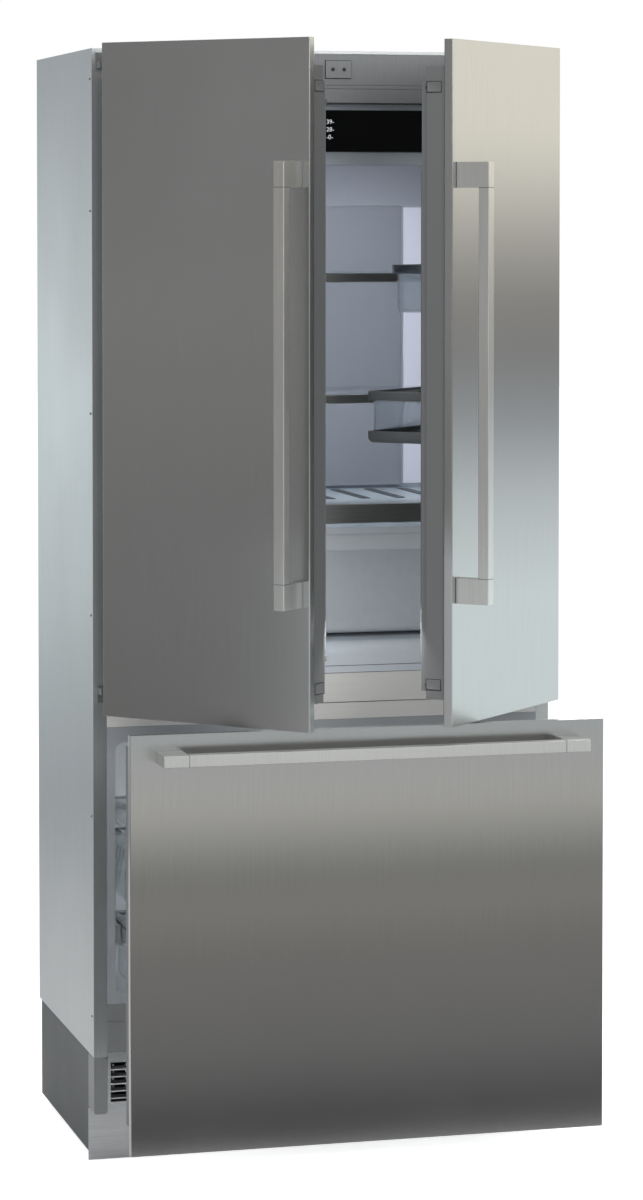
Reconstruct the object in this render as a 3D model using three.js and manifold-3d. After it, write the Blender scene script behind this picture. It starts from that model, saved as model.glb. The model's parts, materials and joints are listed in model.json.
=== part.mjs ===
// French-door refrigerator with a bottom freezer drawer, 36-inch built-in class.
// Millimetres. +X is the right-hand side seen from the front, +Y the back, +Z up from the floor.
// Pieces are drawn with the cabinet's front plane at Y = 0 and with the doors and drawers shut.
// Nested groups then open the two doors and the freezer drawer, and the last lines move the
// whole appliance so that its origin is the centre of its base.
import * as THREE from 'three';
import { mergeVertices } from 'three/addons/utils/BufferGeometryUtils.js';
import Module from 'manifold-3d';

// ---------------------------------------------------------------- driving dimensions

// Cabinet casing
const cabinetWidth = 908;
const cabinetDepth = 561;
const cabinetTop = 2128;
const casingBottom = 211; // lower edge of the side panels, above the base
const casingSheet = 1.5;
const stileWidth = 26; // front return of each side panel
const topReturn = 6; // front return of the top panel
const touchGap = 0.35; // between pieces that touch
const frontSkin = 3; // thickness of the frame pieces between the stiles
const seamWidth = 1.6;
const seamDepth = 1.2;

// Frame, bottom to top: each piece is measured from the one below it
const lowerRailLift = 9; // casing's lower edge up to the lower rail
const lowerRailHeight = 92;
const lowerRailSeamLift = 59; // lower rail's bottom up to its groove
const freezerSillHeight = 15; // lower rail up to the freezer opening
const freezerOpeningHeight = 486;
const freezerHeadHeight = 29; // freezer opening up to the divider cover
const dividerHeight = 89;
const dividerSeamLift = 32;
const fridgeSillHeight = 37; // divider cover up to where the sill's rounding starts
const fridgeSillRadius = 23;
const headHeight = 138; // cabinet top down to the fridge ceiling
const headerHeight = 99; // cabinet top down to the lower edge of the header's flush face
const headerSillHeight = 26; // control panel down to the header's underside
const headerRecess = 28; // set-back of the header's lower face
const headerThickness = 60;
const headerSeamDrop = 66; // cabinet top down to the groove across the header cover

// Insulated walls and liners
const sideWall = 42; // casing outside to the liner's inside
const fridgeBackWall = 61;
const freezerBackWall = 91;
const linerWall = 3;
const linerRadius = 22;
const arcSteps = 5;

// Control panel and flap guide in the head
const controlHeight = 79;
const controlGap = 14; // header's flush face down to the panel
const controlSideMargin = 12;
const controlThickness = 4;
const flapGuideLeft = 2; // right of the centre line
const flapGuideWidth = 50;
const flapGuideHeight = 33;
const flapGuideDrop = 19;
const flapGuideProud = 4;

// Fridge fittings
const shelfFront = 140;
const shelfGlass = 5;
const shelfTrimDepth = 7;
const shelfTrimHeight = 18;
const shelfShares = { lower: 0.319, upper: 0.68 }; // of the space above the bottle shelf
const shelfSideGap = 3;
const ledgeReach = 6;
const bottleShelfLift = 259; // fridge floor up to the top of the bottle shelf
const bottleShelfThickness = 6;
const bottleShelfFront = 85;
const bottleShelfTrimHeight = 38;
const ductSideMargin = 118;
const ductThickness = 12;
const fanHousingHeight = 156;
const fanHousingDepth = 67;

// Crisper drawer
const crisperFront = 84;
const crisperBottomGap = 6;
const crisperSideGap = 27;
const crisperBackGap = 27;
const crisperWall = 3;
const crisperBarHeight = 33;
const crisperBarProud = 9;
const crisperStripHeight = 13;
const crisperStripGap = 7; // bottle shelf's trim down to the crisper's upper strip

// Door and drawer fronts
const panelInset = 1; // front panels inside the cabinet's sides
const centreGap = 4;
const panelThickness = 18;
const panelSheet = 1.5;
const panelEdgeRadius = 2;
const panelBackBand = 60; // closed border on the back of each front panel
const bodyThickness = 38;
const bodyEdgeInset = 4;
const gasketThickness = 12;
const gasketWidth = 16;
const doorPanelRise = 6.7; // door panels above the cabinet's top
const doorDrawerGap = 3.5; // drawer panel up to the door panels
const doorBodyInset = 49; // door body inside its panel, top and bottom
const drawerPanelLap = 29.5; // drawer panel above the divider cover's bottom
const drawerPanelBottom = 102.3;
const drawerBodyTopInset = 26;
const drawerBodyBottomInset = 48;
const doorGasketHingeInset = 26;
const doorGasketFreeInset = 8;
const doorGasketTopInset = 28;
const doorGasketBottomInset = 14;
const drawerGasketLap = 15;

// Door liners and their bins
const dykeHeight = 26;
const dykeWall = 9;
const dykeHingeInset = 51;
const dykeFreeInset = 32;
const dykeFloorGap = 19;
const dykeCeilingGap = 16;
const binWall = 3;
const binSideGap = 1;
const bins = {
  upper: { share: 0.58, height: 89, depth: 97 },
  lower: { share: 0.212, height: 96, depth: 147 },
};

// Flap that closes the gap between the doors, on the left door
const flapThickness = 14;
const flapWidth = 57;
const flapAxisFromEdge = 19; // door panel's free edge to the flap's axis
const flapDykeGap = 4; // flap to the door liner's rim
const flapFrontGap = 1; // the flap's face behind the cabinet's front plane
const flapTopGap = 4; // below the header's flush face
const flapBottomGap = 6; // above the sill
const flapBracketHeight = 9;
const flapBracketReach = 34; // from the axis towards the hinge side

// Handles
const handleStandoff = 67;
const handleBarWidth = 22;
const handleBarDepth = 21;
const handleBlock = 47;
const handleEdgeRadius = 1.2;
const doorHandleEdgeGap = 14;
const doorHandleTopMargin = 224;
const doorHandleBottomMargin = 227;
const drawerHandleSideMargin = 48.5;
const drawerHandleTopMargin = 29;

// Hinges
const pivotOut = 8; // hinge axis outside the door panel's hinge edge
const pivotForward = 7; // hinge axis in front of the door panel's face
const hingePlateWidth = 60;
const hingePlateHeight = 30;
const hingePlateThickness = 4;
const hingeArmWidth = 26;
const hingeArmReach = 38;
const hingeArmHeight = 12;
const hingeEndGap = 4; // hinge to the end of the door body

// Freezer fittings
const railBackGap = 29; // rails to the freezer liner's back
const railFront = 8;
const railPlate = 2;
const railLift = 101; // freezer opening's bottom up to the rails
const railHeight = 34;
const railDepth = 12;
const armHeight = 26;
const armThickness = 12;
const armSideGap = 1.5;
const trayDrop = 148; // the tray hangs this far below its ledges
const trayLedgeWidth = 15;
const trayLedgeThickness = 5;
const trayFront = 30;
const trayBackGap = 67; // tray to the freezer liner's back
const trayLift = 30; // rails up to the tray's underside
const tubWall = 3;
const tubSideGap = 6;
const tubRim = 5;
const lowerBinFloorGap = 9;
const lowerBinFront = 5;
const lowerBinBackGap = 62; // bin to the freezer liner's back

// Base
const toeRecess = 54;
const toeHeight = 107;
const toeFloorGap = 1.5;
const toeSheet = 2;
const toeFlange = 16;
const cornerCoverBottom = 102;
const cornerRadius = 5;
const baseBottom = 17;
const baseBackInset = 15;
const baseSheet = 2;
const grilleBottom = 109.5;
const grilleDepth = 10;
const grilleTopStrip = 19.5;
const grilleBottomStrip = 15;
const grilleSlats = 5;
const slatThickness = 3;
const slatTilt = 25; // degrees
const grilleEndWidth = 6;
const footRadius = 22;
const footPad = 8;
const footStemRadius = 8;
const footSideInset = 60;
const footFromToe = 45;
const skidWidth = 40;
const skidBackInset = 60;
const skidSideInset = 70;

// Machine compartment and cold side
const compressorRadius = 88;
const compressorHeadroom = 32.65; // compressor's dome to the insulation above it
const compressorSideInset = 170;
const compressorBackInset = 130;
const condenserSideInset = 60;
const condenserWidth = 330;
const condenserDepth = 190;
const condenserHeight = 150;
const condenserFromToe = 60;
const finCount = 14;
const finThickness = 2.5;
const finBase = 12;
const evaporatorSideInset = 62;
const evaporatorEndInset = 43;
const evaporatorBackCover = 30;
const evaporatorClearance = 6;
const inletWidth = 44;
const inletHeight = 34;
const inletDepth = 12;
const inletSideInset = 70;
const inletLift = 90;

// Positions in which the appliance stands
const doorOpening = 45.6; // degrees
const drawerTravel = 262;

// ---------------------------------------------------------------- worked-out places

const halfWidth = cabinetWidth / 2;
const openingHalf = halfWidth - sideWall;
const insideCasing = halfWidth - casingSheet - touchGap;
const frameHalf = halfWidth - stileWidth - touchGap;

const lowerRailBottom = casingBottom + lowerRailLift;
const lowerRailSeam = lowerRailBottom + lowerRailSeamLift;
const freezerFrameBottom = lowerRailBottom + lowerRailHeight;
const freezerOpeningBottom = freezerFrameBottom + freezerSillHeight;
const freezerOpeningTop = freezerOpeningBottom + freezerOpeningHeight;
const dividerBottom = freezerOpeningTop + freezerHeadHeight;
const dividerSeam = dividerBottom + dividerSeamLift;
const fridgeFrameBottom = dividerBottom + dividerHeight;
const fridgeSill = fridgeFrameBottom + fridgeSillHeight;
const fridgeFloor = fridgeSill + fridgeSillRadius;
const fridgeCeiling = cabinetTop - headHeight;
const headerBottom = cabinetTop - headerHeight;
const controlTop = headerBottom - controlGap;
const headerFoot = controlTop - controlHeight - headerSillHeight;

const fridgeBack = cabinetDepth - fridgeBackWall;
const freezerBack = cabinetDepth - freezerBackWall;
const fridgeDepth = fridgeBack - linerWall;
const freezerDepth = freezerBack - linerWall;
const bottleShelfTop = fridgeFloor + bottleShelfLift;
const shelfSpace = headerFoot - bottleShelfTop;
const shelfHeights = {
  lower: bottleShelfTop + shelfSpace * shelfShares.lower,
  upper: bottleShelfTop + shelfSpace * shelfShares.upper,
};
const ductFront = fridgeDepth - touchGap - ductThickness;
const crisperStripTop = bottleShelfTop - bottleShelfTrimHeight - crisperStripGap;
const crisperTop = crisperStripTop - crisperStripHeight;

const frontHalf = halfWidth - panelInset; // outer half width of the front panels
const bodyBack = -gasketThickness;
const panelBack = bodyBack - bodyThickness;
const panelFace = panelBack - panelThickness;
const doorPanelTop = cabinetTop + doorPanelRise;
const drawerPanelTop = dividerBottom + drawerPanelLap;
const doorPanelBottom = drawerPanelTop + doorDrawerGap;
const doorBody = { bottom: doorPanelBottom + doorBodyInset, top: doorPanelTop - doorBodyInset };
const doorEdge = { hinge: -frontHalf, free: -centreGap / 2 };
const pivot = { x: -frontHalf - pivotOut, y: panelFace - pivotForward };
const flapAxis = { x: doorEdge.free - flapAxisFromEdge, y: flapFrontGap + flapThickness / 2 };
const dykeFreeInsets = {
  left: flapAxisFromEdge - flapThickness / 2 + flapWidth + flapDykeGap,
  right: dykeFreeInset,
};
const flapEnds = [
  fridgeFloor + flapBottomGap + flapBracketHeight + touchGap,
  headerBottom - flapTopGap - flapBracketHeight - touchGap,
];
const drawerBodySpan = {
  bottom: drawerPanelBottom + drawerBodyBottomInset,
  top: drawerPanelTop - drawerBodyTopInset,
};
const railBottom = freezerOpeningBottom + railLift;
const railBack = freezerDepth - railBackGap;
const trayBottom = railBottom + railHeight + trayLift;
const trayLedgeTop = trayBottom + trayDrop;
const tubHalf = openingHalf - railDepth - armSideGap - armThickness - tubSideGap;
const baseFront = toeRecess + toeSheet + touchGap;
const baseBack = cabinetDepth - baseBackInset;
const footTop = baseBottom - touchGap;
const compressorFloor = baseBottom + baseSheet + touchGap;
const compressorHeight = lowerRailBottom - compressorHeadroom - compressorFloor;

// ---------------------------------------------------------------- shaping helpers

const wasm = await Module();
wasm.setup();

function box([x0, x1], [y0, y1], [z0, z1]) {
  const block = new THREE.BoxGeometry(x1 - x0, y1 - y0, z1 - z0);
  return block.translate((x0 + x1) / 2, (y0 + y1) / 2, (z0 + z1) / 2);
}

function roundedRectangle([u0, u1], [v0, v1], radius) {
  const shape = new THREE.Shape();
  shape.absarc(u1 - radius, v0 + radius, radius, -Math.PI / 2, 0);
  shape.absarc(u1 - radius, v1 - radius, radius, 0, Math.PI / 2);
  shape.absarc(u0 + radius, v1 - radius, radius, Math.PI / 2, Math.PI);
  shape.absarc(u0 + radius, v0 + radius, radius, Math.PI, Math.PI * 1.5);
  return shape;
}

function outline(points) {
  return new THREE.Shape(points.map(([u, v]) => new THREE.Vector2(u, v)));
}

// A shape's two axes lie on the two row axes other than the one it is extruded along.
function prism(shape, axis, from, to, steps = arcSteps) {
  const depth = to - from;
  const solid = new THREE.ExtrudeGeometry(shape, { depth, bevelEnabled: false, curveSegments: steps });
  if (axis === 'x') {
    solid.applyMatrix4(
      new THREE.Matrix4().makeBasis(
        new THREE.Vector3(0, 1, 0),
        new THREE.Vector3(0, 0, 1),
        new THREE.Vector3(1, 0, 0),
      ),
    );
    return solid.translate(from, 0, 0);
  }
  if (axis === 'y') return solid.rotateX(Math.PI / 2).translate(0, to, 0);
  return solid.translate(0, 0, from);
}

function welded(geometry) {
  const bare = geometry.clone();
  bare.deleteAttribute('normal');
  bare.deleteAttribute('uv');
  return mergeVertices(bare, 1e-4);
}

function toSolid(geometry) {
  const closed = welded(geometry);
  const vertProperties = Float32Array.from(closed.attributes.position.array);
  const triVerts = Uint32Array.from(closed.index.array);
  return new wasm.Manifold(new wasm.Mesh({ numProp: 3, vertProperties, triVerts }));
}

function toGeometry(solid) {
  const mesh = solid.getMesh();
  const geometry = new THREE.BufferGeometry();
  geometry.setAttribute('position', new THREE.BufferAttribute(mesh.vertProperties, 3));
  geometry.setIndex(new THREE.BufferAttribute(mesh.triVerts, 1));
  return geometry;
}

function join(...geometries) {
  return toGeometry(geometries.map(toSolid).reduce((whole, next) => whole.add(next)));
}

function common(first, second) {
  return toGeometry(toSolid(first).intersect(toSolid(second)));
}

function cut(geometry, ...tools) {
  return toGeometry(tools.map(toSolid).reduce((whole, tool) => whole.subtract(tool), toSolid(geometry)));
}

// The same piece for the other side of the appliance.
function mirrored(geometry) {
  const other = welded(geometry);
  const { position } = other.attributes;
  for (let i = 0; i < position.count; i += 1) position.setX(i, -position.getX(i));
  const corners = other.index.array;
  for (let i = 0; i < corners.length; i += 3) {
    [corners[i + 1], corners[i + 2]] = [corners[i + 2], corners[i + 1]];
  }
  return other;
}

function ring([x0, x1], [y0, y1], [z0, z1], width) {
  return cut(
    box([x0, x1], [y0, y1], [z0, z1]),
    box([x0 + width, x1 - width], [y0 - 1, y1 + 1], [z0 + width, z1 - width]),
  );
}

// An open-topped tub, with an outward rim along its two sides if one is asked for.
function tub([x0, x1], [y0, y1], [z0, z1], wall, rimWidth = 0) {
  const outer = box([x0, x1], [y0, y1], [z0, z1]);
  const hollow = box([x0 + wall, x1 - wall], [y0 + wall, y1 - wall], [z0 + wall, z1 + 1]);
  if (rimWidth === 0) return cut(outer, hollow);
  const rim = box([x0 - rimWidth, x1 + rimWidth], [y0, y1], [z1 - tubRim, z1]);
  return cut(join(outer, rim), hollow);
}

// A horizontal groove across the front of a frame piece.
function seamTool(z) {
  return box([-frameHalf - 1, frameHalf + 1], [-1, seamDepth], [z - seamWidth / 2, z + seamWidth / 2]);
}

const sides = [
  { side: 'left', shape: (geometry) => geometry },
  { side: 'right', shape: mirrored },
];

// ---------------------------------------------------------------- materials

function finish(color, roughness, metalness, opacity = 1) {
  return new THREE.MeshStandardMaterial({
    color, roughness, metalness, opacity, transparent: opacity < 1,
  });
}

const finishes = {
  casing: finish(0x9ba2a3, 0.45, 0.55),
  frame: finish(0x7f8282, 0.4, 0.5),
  stainless: finish(0xa9abab, 0.28, 1),
  liner: finish(0xdfe3e8, 0.45, 0),
  foam: finish(0xe8d9a8, 0.9, 0),
  doorBody: finish(0x6c6e6f, 0.5, 0.1),
  gasket: finish(0x5a5c5e, 0.8, 0),
  clear: finish(0xcfdde2, 0.08, 0, 0.4),
  glass: finish(0xc9dcdc, 0.05, 0, 0.4),
  blackGlass: finish(0x0a0b0c, 0.08, 0),
  base: finish(0x4d4f50, 0.6, 0.3),
  dark: finish(0x26282a, 0.6, 0.1),
  aluminium: finish(0xc4c8ca, 0.4, 0.9),
};

// ---------------------------------------------------------------- bodies

function body(parent, name, position = [0, 0, 0], turn = 0) {
  const moved = new THREE.Group();
  moved.name = name;
  moved.position.set(...position);
  moved.rotation.z = THREE.MathUtils.degToRad(turn);
  const pieces = new THREE.Group();
  pieces.position.set(-position[0], -position[1], -position[2]);
  moved.add(pieces);
  parent.add(moved);
  return pieces;
}

function add(parent, name, geometry, material) {
  const mesh = new THREE.Mesh(geometry, material);
  mesh.name = name;
  parent.add(mesh);
}

const refrigerator = new THREE.Group();
const cabinet = body(refrigerator, 'cabinet');

// ---------------------------------------------------------------- casing

function sidePanel() {
  const section = outline([
    [-halfWidth, 0],
    [-halfWidth + stileWidth, 0],
    [-halfWidth + stileWidth, casingSheet],
    [-halfWidth + casingSheet, casingSheet],
    [-halfWidth + casingSheet, cabinetDepth],
    [-halfWidth, cabinetDepth],
  ]);
  return prism(section, 'z', casingBottom, cabinetTop);
}

function topPanel() {
  const sheetSpan = [cabinetTop - casingSheet, cabinetTop];
  const backEdge = cabinetDepth - casingSheet - touchGap;
  return join(
    box([-insideCasing, insideCasing], [casingSheet + touchGap, backEdge], sheetSpan),
    box([-frameHalf, frameHalf], [0, frontSkin], sheetSpan),
    box([-frameHalf, frameHalf], [0, casingSheet], [cabinetTop - topReturn, cabinetTop]),
  );
}

function linerTunnel([z0, z1], back) {
  const outer = roundedRectangle(
    [-openingHalf - linerWall, openingHalf + linerWall],
    [z0 - linerWall, z1 + linerWall],
    linerRadius + linerWall,
  );
  return prism(outer, 'y', 0, back);
}

function linerHollow([z0, z1], back) {
  const inner = roundedRectangle([-openingHalf, openingHalf], [z0, z1], linerRadius);
  return prism(inner, 'y', -1, back - linerWall);
}

// Room for a liner in the foam.
function linerPocket([z0, z1], back) {
  const reach = linerWall + touchGap;
  const outer = roundedRectangle(
    [-openingHalf - reach, openingHalf + reach],
    [z0 - reach, z1 + reach],
    linerRadius + reach,
  );
  return prism(outer, 'y', -1, back + touchGap);
}

function evaporatorPocket() {
  const half = openingHalf - evaporatorSideInset + evaporatorClearance;
  return box(
    [-half, half],
    [freezerBack - 1, cabinetDepth - evaporatorBackCover],
    [
      freezerOpeningBottom + evaporatorEndInset - evaporatorClearance,
      freezerOpeningTop - evaporatorEndInset + evaporatorClearance,
    ],
  );
}

function foamInsulation() {
  return cut(
    box(
      [-insideCasing, insideCasing],
      [frontSkin + touchGap, cabinetDepth - casingSheet - touchGap],
      [lowerRailBottom, cabinetTop - casingSheet - touchGap],
    ),
    linerPocket([fridgeSill, fridgeCeiling], fridgeBack),
    linerPocket([freezerOpeningBottom, freezerOpeningTop], freezerBack),
    evaporatorPocket(),
    box(
      [-frameHalf - touchGap, frameHalf + touchGap],
      [0, headerThickness + touchGap],
      [headerFoot - touchGap, cabinetTop],
    ),
  );
}

// Two ledges, one on each side wall, that carry a shelf.
function shelfLedges(underside, front) {
  return [-1, 1].map((side) => {
    const wall = side * (openingHalf + 1);
    const reach = side * (openingHalf - ledgeReach);
    return box(
      [Math.min(wall, reach), Math.max(wall, reach)],
      [front + shelfTrimDepth + ledgeReach, fridgeDepth - fanHousingDepth],
      [underside - touchGap - ledgeReach, underside - touchGap],
    );
  });
}

function raisedFloor() {
  const radius = fridgeFloor - fridgeSill;
  const section = new THREE.Shape();
  section.moveTo(0, fridgeSill - linerWall);
  section.lineTo(fridgeDepth + 1, fridgeSill - linerWall);
  section.lineTo(fridgeDepth + 1, fridgeFloor);
  section.absarc(radius, fridgeSill, radius, Math.PI / 2, Math.PI);
  return prism(section, 'x', -openingHalf - 1, openingHalf + 1);
}

function fridgeLiner() {
  const flange = box(
    [-frameHalf, frameHalf],
    [0, frontSkin],
    [fridgeFrameBottom + touchGap, headerFoot - touchGap],
  );
  const tunnel = linerTunnel([fridgeSill, fridgeCeiling], fridgeBack);
  const shell = cut(
    join(flange, tunnel),
    linerHollow([fridgeSill, fridgeCeiling], fridgeBack),
    box(
      [-halfWidth, halfWidth],
      [-1, headerThickness + touchGap],
      [headerFoot - touchGap, cabinetTop],
    ),
  );
  return join(
    shell,
    common(raisedFloor(), tunnel),
    ...shelfLedges(shelfHeights.lower - shelfGlass, shelfFront),
    ...shelfLedges(shelfHeights.upper - shelfGlass, shelfFront),
    ...shelfLedges(bottleShelfTop - bottleShelfThickness, bottleShelfFront),
  );
}

function freezerLiner() {
  const flange = box(
    [-frameHalf, frameHalf],
    [0, frontSkin],
    [freezerFrameBottom, dividerBottom - touchGap],
  );
  return cut(
    join(flange, linerTunnel([freezerOpeningBottom, freezerOpeningTop], freezerBack)),
    linerHollow([freezerOpeningBottom, freezerOpeningTop], freezerBack),
  );
}

for (const { side, shape } of sides) {
  add(cabinet, `side_panel_${side}`, shape(sidePanel()), finishes.casing);
}
add(cabinet, 'top_panel', topPanel(), finishes.casing);
add(
  cabinet,
  'back_panel',
  box([-insideCasing, insideCasing], [cabinetDepth - casingSheet, cabinetDepth], [casingBottom, cabinetTop]),
  finishes.casing,
);
add(cabinet, 'foam_insulation', foamInsulation(), finishes.foam);
add(cabinet, 'fridge_liner', fridgeLiner(), finishes.liner);
add(cabinet, 'freezer_liner', freezerLiner(), finishes.frame);

// ---------------------------------------------------------------- front frame

function framePiece(bottom, top, seam) {
  return cut(box([-frameHalf, frameHalf], [0, frontSkin], [bottom, top]), seamTool(seam));
}

// The head of the frame, with its lower part set back to carry the control panel.
function headerCover() {
  const top = cabinetTop - topReturn - touchGap;
  const section = outline([
    [0, headerBottom],
    [headerRecess, headerBottom],
    [headerRecess, headerFoot],
    [headerThickness, headerFoot],
    [headerThickness, top],
    [0, top],
  ]);
  return cut(prism(section, 'x', -frameHalf, frameHalf), seamTool(cabinetTop - headerSeamDrop));
}

add(cabinet, 'header_cover', headerCover(), finishes.frame);
add(cabinet, 'divider_cover', framePiece(dividerBottom, fridgeFrameBottom, dividerSeam), finishes.frame);
add(
  cabinet,
  'lower_rail',
  framePiece(lowerRailBottom, freezerFrameBottom - touchGap, lowerRailSeam),
  finishes.frame,
);
add(
  cabinet,
  'flap_guide',
  box(
    [flapGuideLeft, flapGuideLeft + flapGuideWidth],
    [-flapGuideProud, -touchGap],
    [cabinetTop - flapGuideDrop - flapGuideHeight, cabinetTop - flapGuideDrop],
  ),
  finishes.frame,
);
const controlSpan = [controlTop - controlHeight, controlTop];
const controlHalf = openingHalf - controlSideMargin;
add(
  cabinet,
  'control_panel',
  box(
    [-controlHalf, controlHalf],
    [headerRecess - touchGap - controlThickness, headerRecess - touchGap],
    controlSpan,
  ),
  finishes.blackGlass,
);

// ---------------------------------------------------------------- fridge fittings

function addShelf(level) {
  const top = shelfHeights[level];
  const half = openingHalf - shelfSideGap;
  const trimBack = shelfFront + shelfTrimDepth;
  add(
    cabinet,
    `shelf_${level}`,
    box([-half, half], [trimBack + touchGap, ductFront - touchGap], [top - shelfGlass, top]),
    finishes.glass,
  );
  const trim = roundedRectangle([shelfFront, trimBack], [top - shelfTrimHeight + 1, top + 1], 2);
  add(cabinet, `shelf_${level}_trim`, prism(trim, 'x', -half, half), finishes.stainless);
}

function addBottleShelf() {
  const half = openingHalf - shelfSideGap;
  const trimBack = bottleShelfFront + shelfTrimDepth;
  const plate = [bottleShelfTop - bottleShelfThickness, bottleShelfTop];
  add(
    cabinet,
    'bottle_shelf',
    box([-half, half], [trimBack + touchGap, ductFront - touchGap], plate),
    finishes.liner,
  );
  const trim = roundedRectangle(
    [bottleShelfFront, trimBack],
    [bottleShelfTop - bottleShelfTrimHeight, bottleShelfTop],
    2,
  );
  add(cabinet, 'bottle_shelf_trim', prism(trim, 'x', -half, half), finishes.stainless);
}

// A panel on the rear wall, and across the top of it the fan's housing, rounded like the liner.
function airDuctCover() {
  const panelHalf = openingHalf - ductSideMargin;
  const back = fridgeDepth - touchGap;
  const housingTop = fridgeCeiling - touchGap;
  const housingBottom = housingTop - fanHousingHeight;
  const housingHalf = openingHalf - touchGap;
  const housing = roundedRectangle([-housingHalf, housingHalf], [fridgeSill, housingTop], linerRadius);
  return join(
    box([-panelHalf, panelHalf], [ductFront, back], [bottleShelfTop + ledgeReach, housingBottom + 1]),
    common(
      prism(housing, 'y', back - fanHousingDepth, back),
      box([-halfWidth, halfWidth], [0, cabinetDepth], [housingBottom, cabinetTop]),
    ),
  );
}

addShelf('lower');
addShelf('upper');
addBottleShelf();
add(cabinet, 'air_duct_cover', airDuctCover(), finishes.liner);

// ---------------------------------------------------------------- crisper drawer

const crisperHalf = openingHalf - crisperSideGap;

function crisperBar() {
  const back = crisperFront - touchGap;
  const bulge = back - crisperBarProud;
  const section = new THREE.Shape();
  section.moveTo(back, crisperTop - crisperBarHeight);
  section.lineTo(back, crisperStripTop);
  section.lineTo(back - 4, crisperStripTop);
  section.lineTo(back - 4, crisperTop);
  section.quadraticCurveTo(bulge, crisperTop, bulge, crisperTop - crisperBarHeight / 2);
  section.quadraticCurveTo(bulge, crisperTop - crisperBarHeight, back, crisperTop - crisperBarHeight);
  return prism(section, 'x', -crisperHalf, crisperHalf);
}

const crisper = body(refrigerator, 'crisper');
add(
  crisper,
  'crisper_bin',
  tub(
    [-crisperHalf, crisperHalf],
    [crisperFront, fridgeDepth - crisperBackGap],
    [fridgeFloor + crisperBottomGap, crisperTop],
    crisperWall,
  ),
  finishes.clear,
);
add(crisper, 'crisper_handle', crisperBar(), finishes.liner);

// ---------------------------------------------------------------- door and drawer fronts

// A folded steel front: hollow, with its back closed except for a window behind the door body.
function frontPanel([x0, x1], [z0, z1]) {
  const section = roundedRectangle([x0, x1], [panelFace, panelBack], panelEdgeRadius);
  const s = panelSheet;
  const band = panelBackBand;
  return cut(
    prism(section, 'z', z0, z1),
    box([x0 + s, x1 - s], [panelFace + s, panelBack - s], [z0 + s, z1 - s]),
    box([x0 + band, x1 - band], [panelBack - s - 1, panelBack + 1], [z0 + band, z1 - band]),
  );
}

function doorBodyShape(side) {
  return join(
    box(
      [doorEdge.hinge + bodyEdgeInset, doorEdge.free - bodyEdgeInset],
      [panelBack + touchGap, bodyBack],
      [doorBody.bottom, doorBody.top],
    ),
    ring(
      [doorEdge.hinge + dykeHingeInset, doorEdge.free - dykeFreeInsets[side]],
      [bodyBack - 1, bodyBack + dykeHeight],
      [fridgeFloor + dykeFloorGap, headerFoot - dykeCeilingGap],
      dykeWall,
    ),
  );
}

function doorGasket() {
  return ring(
    [doorEdge.hinge + doorGasketHingeInset, doorEdge.free - doorGasketFreeInset],
    [bodyBack + touchGap, -touchGap],
    [doorBody.bottom + doorGasketBottomInset, doorBody.top - doorGasketTopInset],
    gasketWidth,
  );
}

function verticalHandle() {
  const right = doorEdge.free - doorHandleEdgeGap;
  const across = [right - handleBarWidth, right];
  const front = panelFace - handleStandoff;
  const along = [doorPanelBottom + doorHandleBottomMargin, doorPanelTop - doorHandleTopMargin];
  const bar = roundedRectangle(across, [front, front + handleBarDepth], handleEdgeRadius);
  const block = roundedRectangle(across, [front, panelFace - touchGap], handleEdgeRadius);
  return join(
    prism(bar, 'z', ...along),
    prism(block, 'z', along[0], along[0] + handleBlock),
    prism(block, 'z', along[1] - handleBlock, along[1]),
  );
}

function doorBin(side, { share, height, depth }) {
  const inset = dykeWall + binSideGap;
  const bottom = bottleShelfTop + shelfSpace * share;
  return tub(
    [doorEdge.hinge + dykeHingeInset + inset, doorEdge.free - dykeFreeInsets[side] - inset],
    [bodyBack + touchGap, bodyBack + depth],
    [bottom, bottom + height],
    binWall,
  );
}

// Brackets on the left door's liner that hold the flap's two ends.
function flapBrackets() {
  const { x, y } = flapAxis;
  const half = flapThickness / 2;
  const section = outline([
    [x - flapBracketReach, bodyBack - 1],
    [x - half - flapBracketHeight, bodyBack - 1],
    [x - half - flapBracketHeight, y - half],
    [x + half, y - half],
    [x + half, y + half],
    [x - flapBracketReach, y + half],
  ]);
  const starts = [flapEnds[0] - touchGap - flapBracketHeight, flapEnds[1] + touchGap];
  return starts.map((z) => prism(section, 'z', z, z + flapBracketHeight));
}

const doors = {};
for (const { side, shape } of sides) {
  const sign = side === 'left' ? 1 : -1;
  const door = body(refrigerator, `${side}_door`, [sign * pivot.x, pivot.y, 0], -sign * doorOpening);
  const panel = frontPanel([doorEdge.hinge, doorEdge.free], [doorPanelBottom, doorPanelTop]);
  const inner = side === 'left' ? join(doorBodyShape(side), ...flapBrackets()) : doorBodyShape(side);
  add(door, `door_panel_${side}`, shape(panel), finishes.stainless);
  add(door, `door_body_${side}`, shape(inner), finishes.doorBody);
  add(door, `door_gasket_${side}`, shape(doorGasket()), finishes.gasket);
  add(door, `door_handle_${side}`, shape(verticalHandle()), finishes.stainless);
  for (const [level, bin] of Object.entries(bins)) {
    add(door, `door_bin_${side}_${level}`, shape(doorBin(side, bin)), finishes.clear);
  }
  doors[side] = door;
}

// The flap lies flat along the door's free edge; its rounded edge turns on the brackets.
function centreFlap() {
  const { x, y } = flapAxis;
  const half = flapThickness / 2;
  const section = roundedRectangle([x + half - flapWidth, x + half], [y - half, y + half], half - 0.1);
  return prism(section, 'z', ...flapEnds);
}

const flap = body(doors.left, 'centre_flap', [flapAxis.x, flapAxis.y, 0]);
add(flap, 'centre_flap', centreFlap(), finishes.frame);

// ---------------------------------------------------------------- hinges

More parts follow.
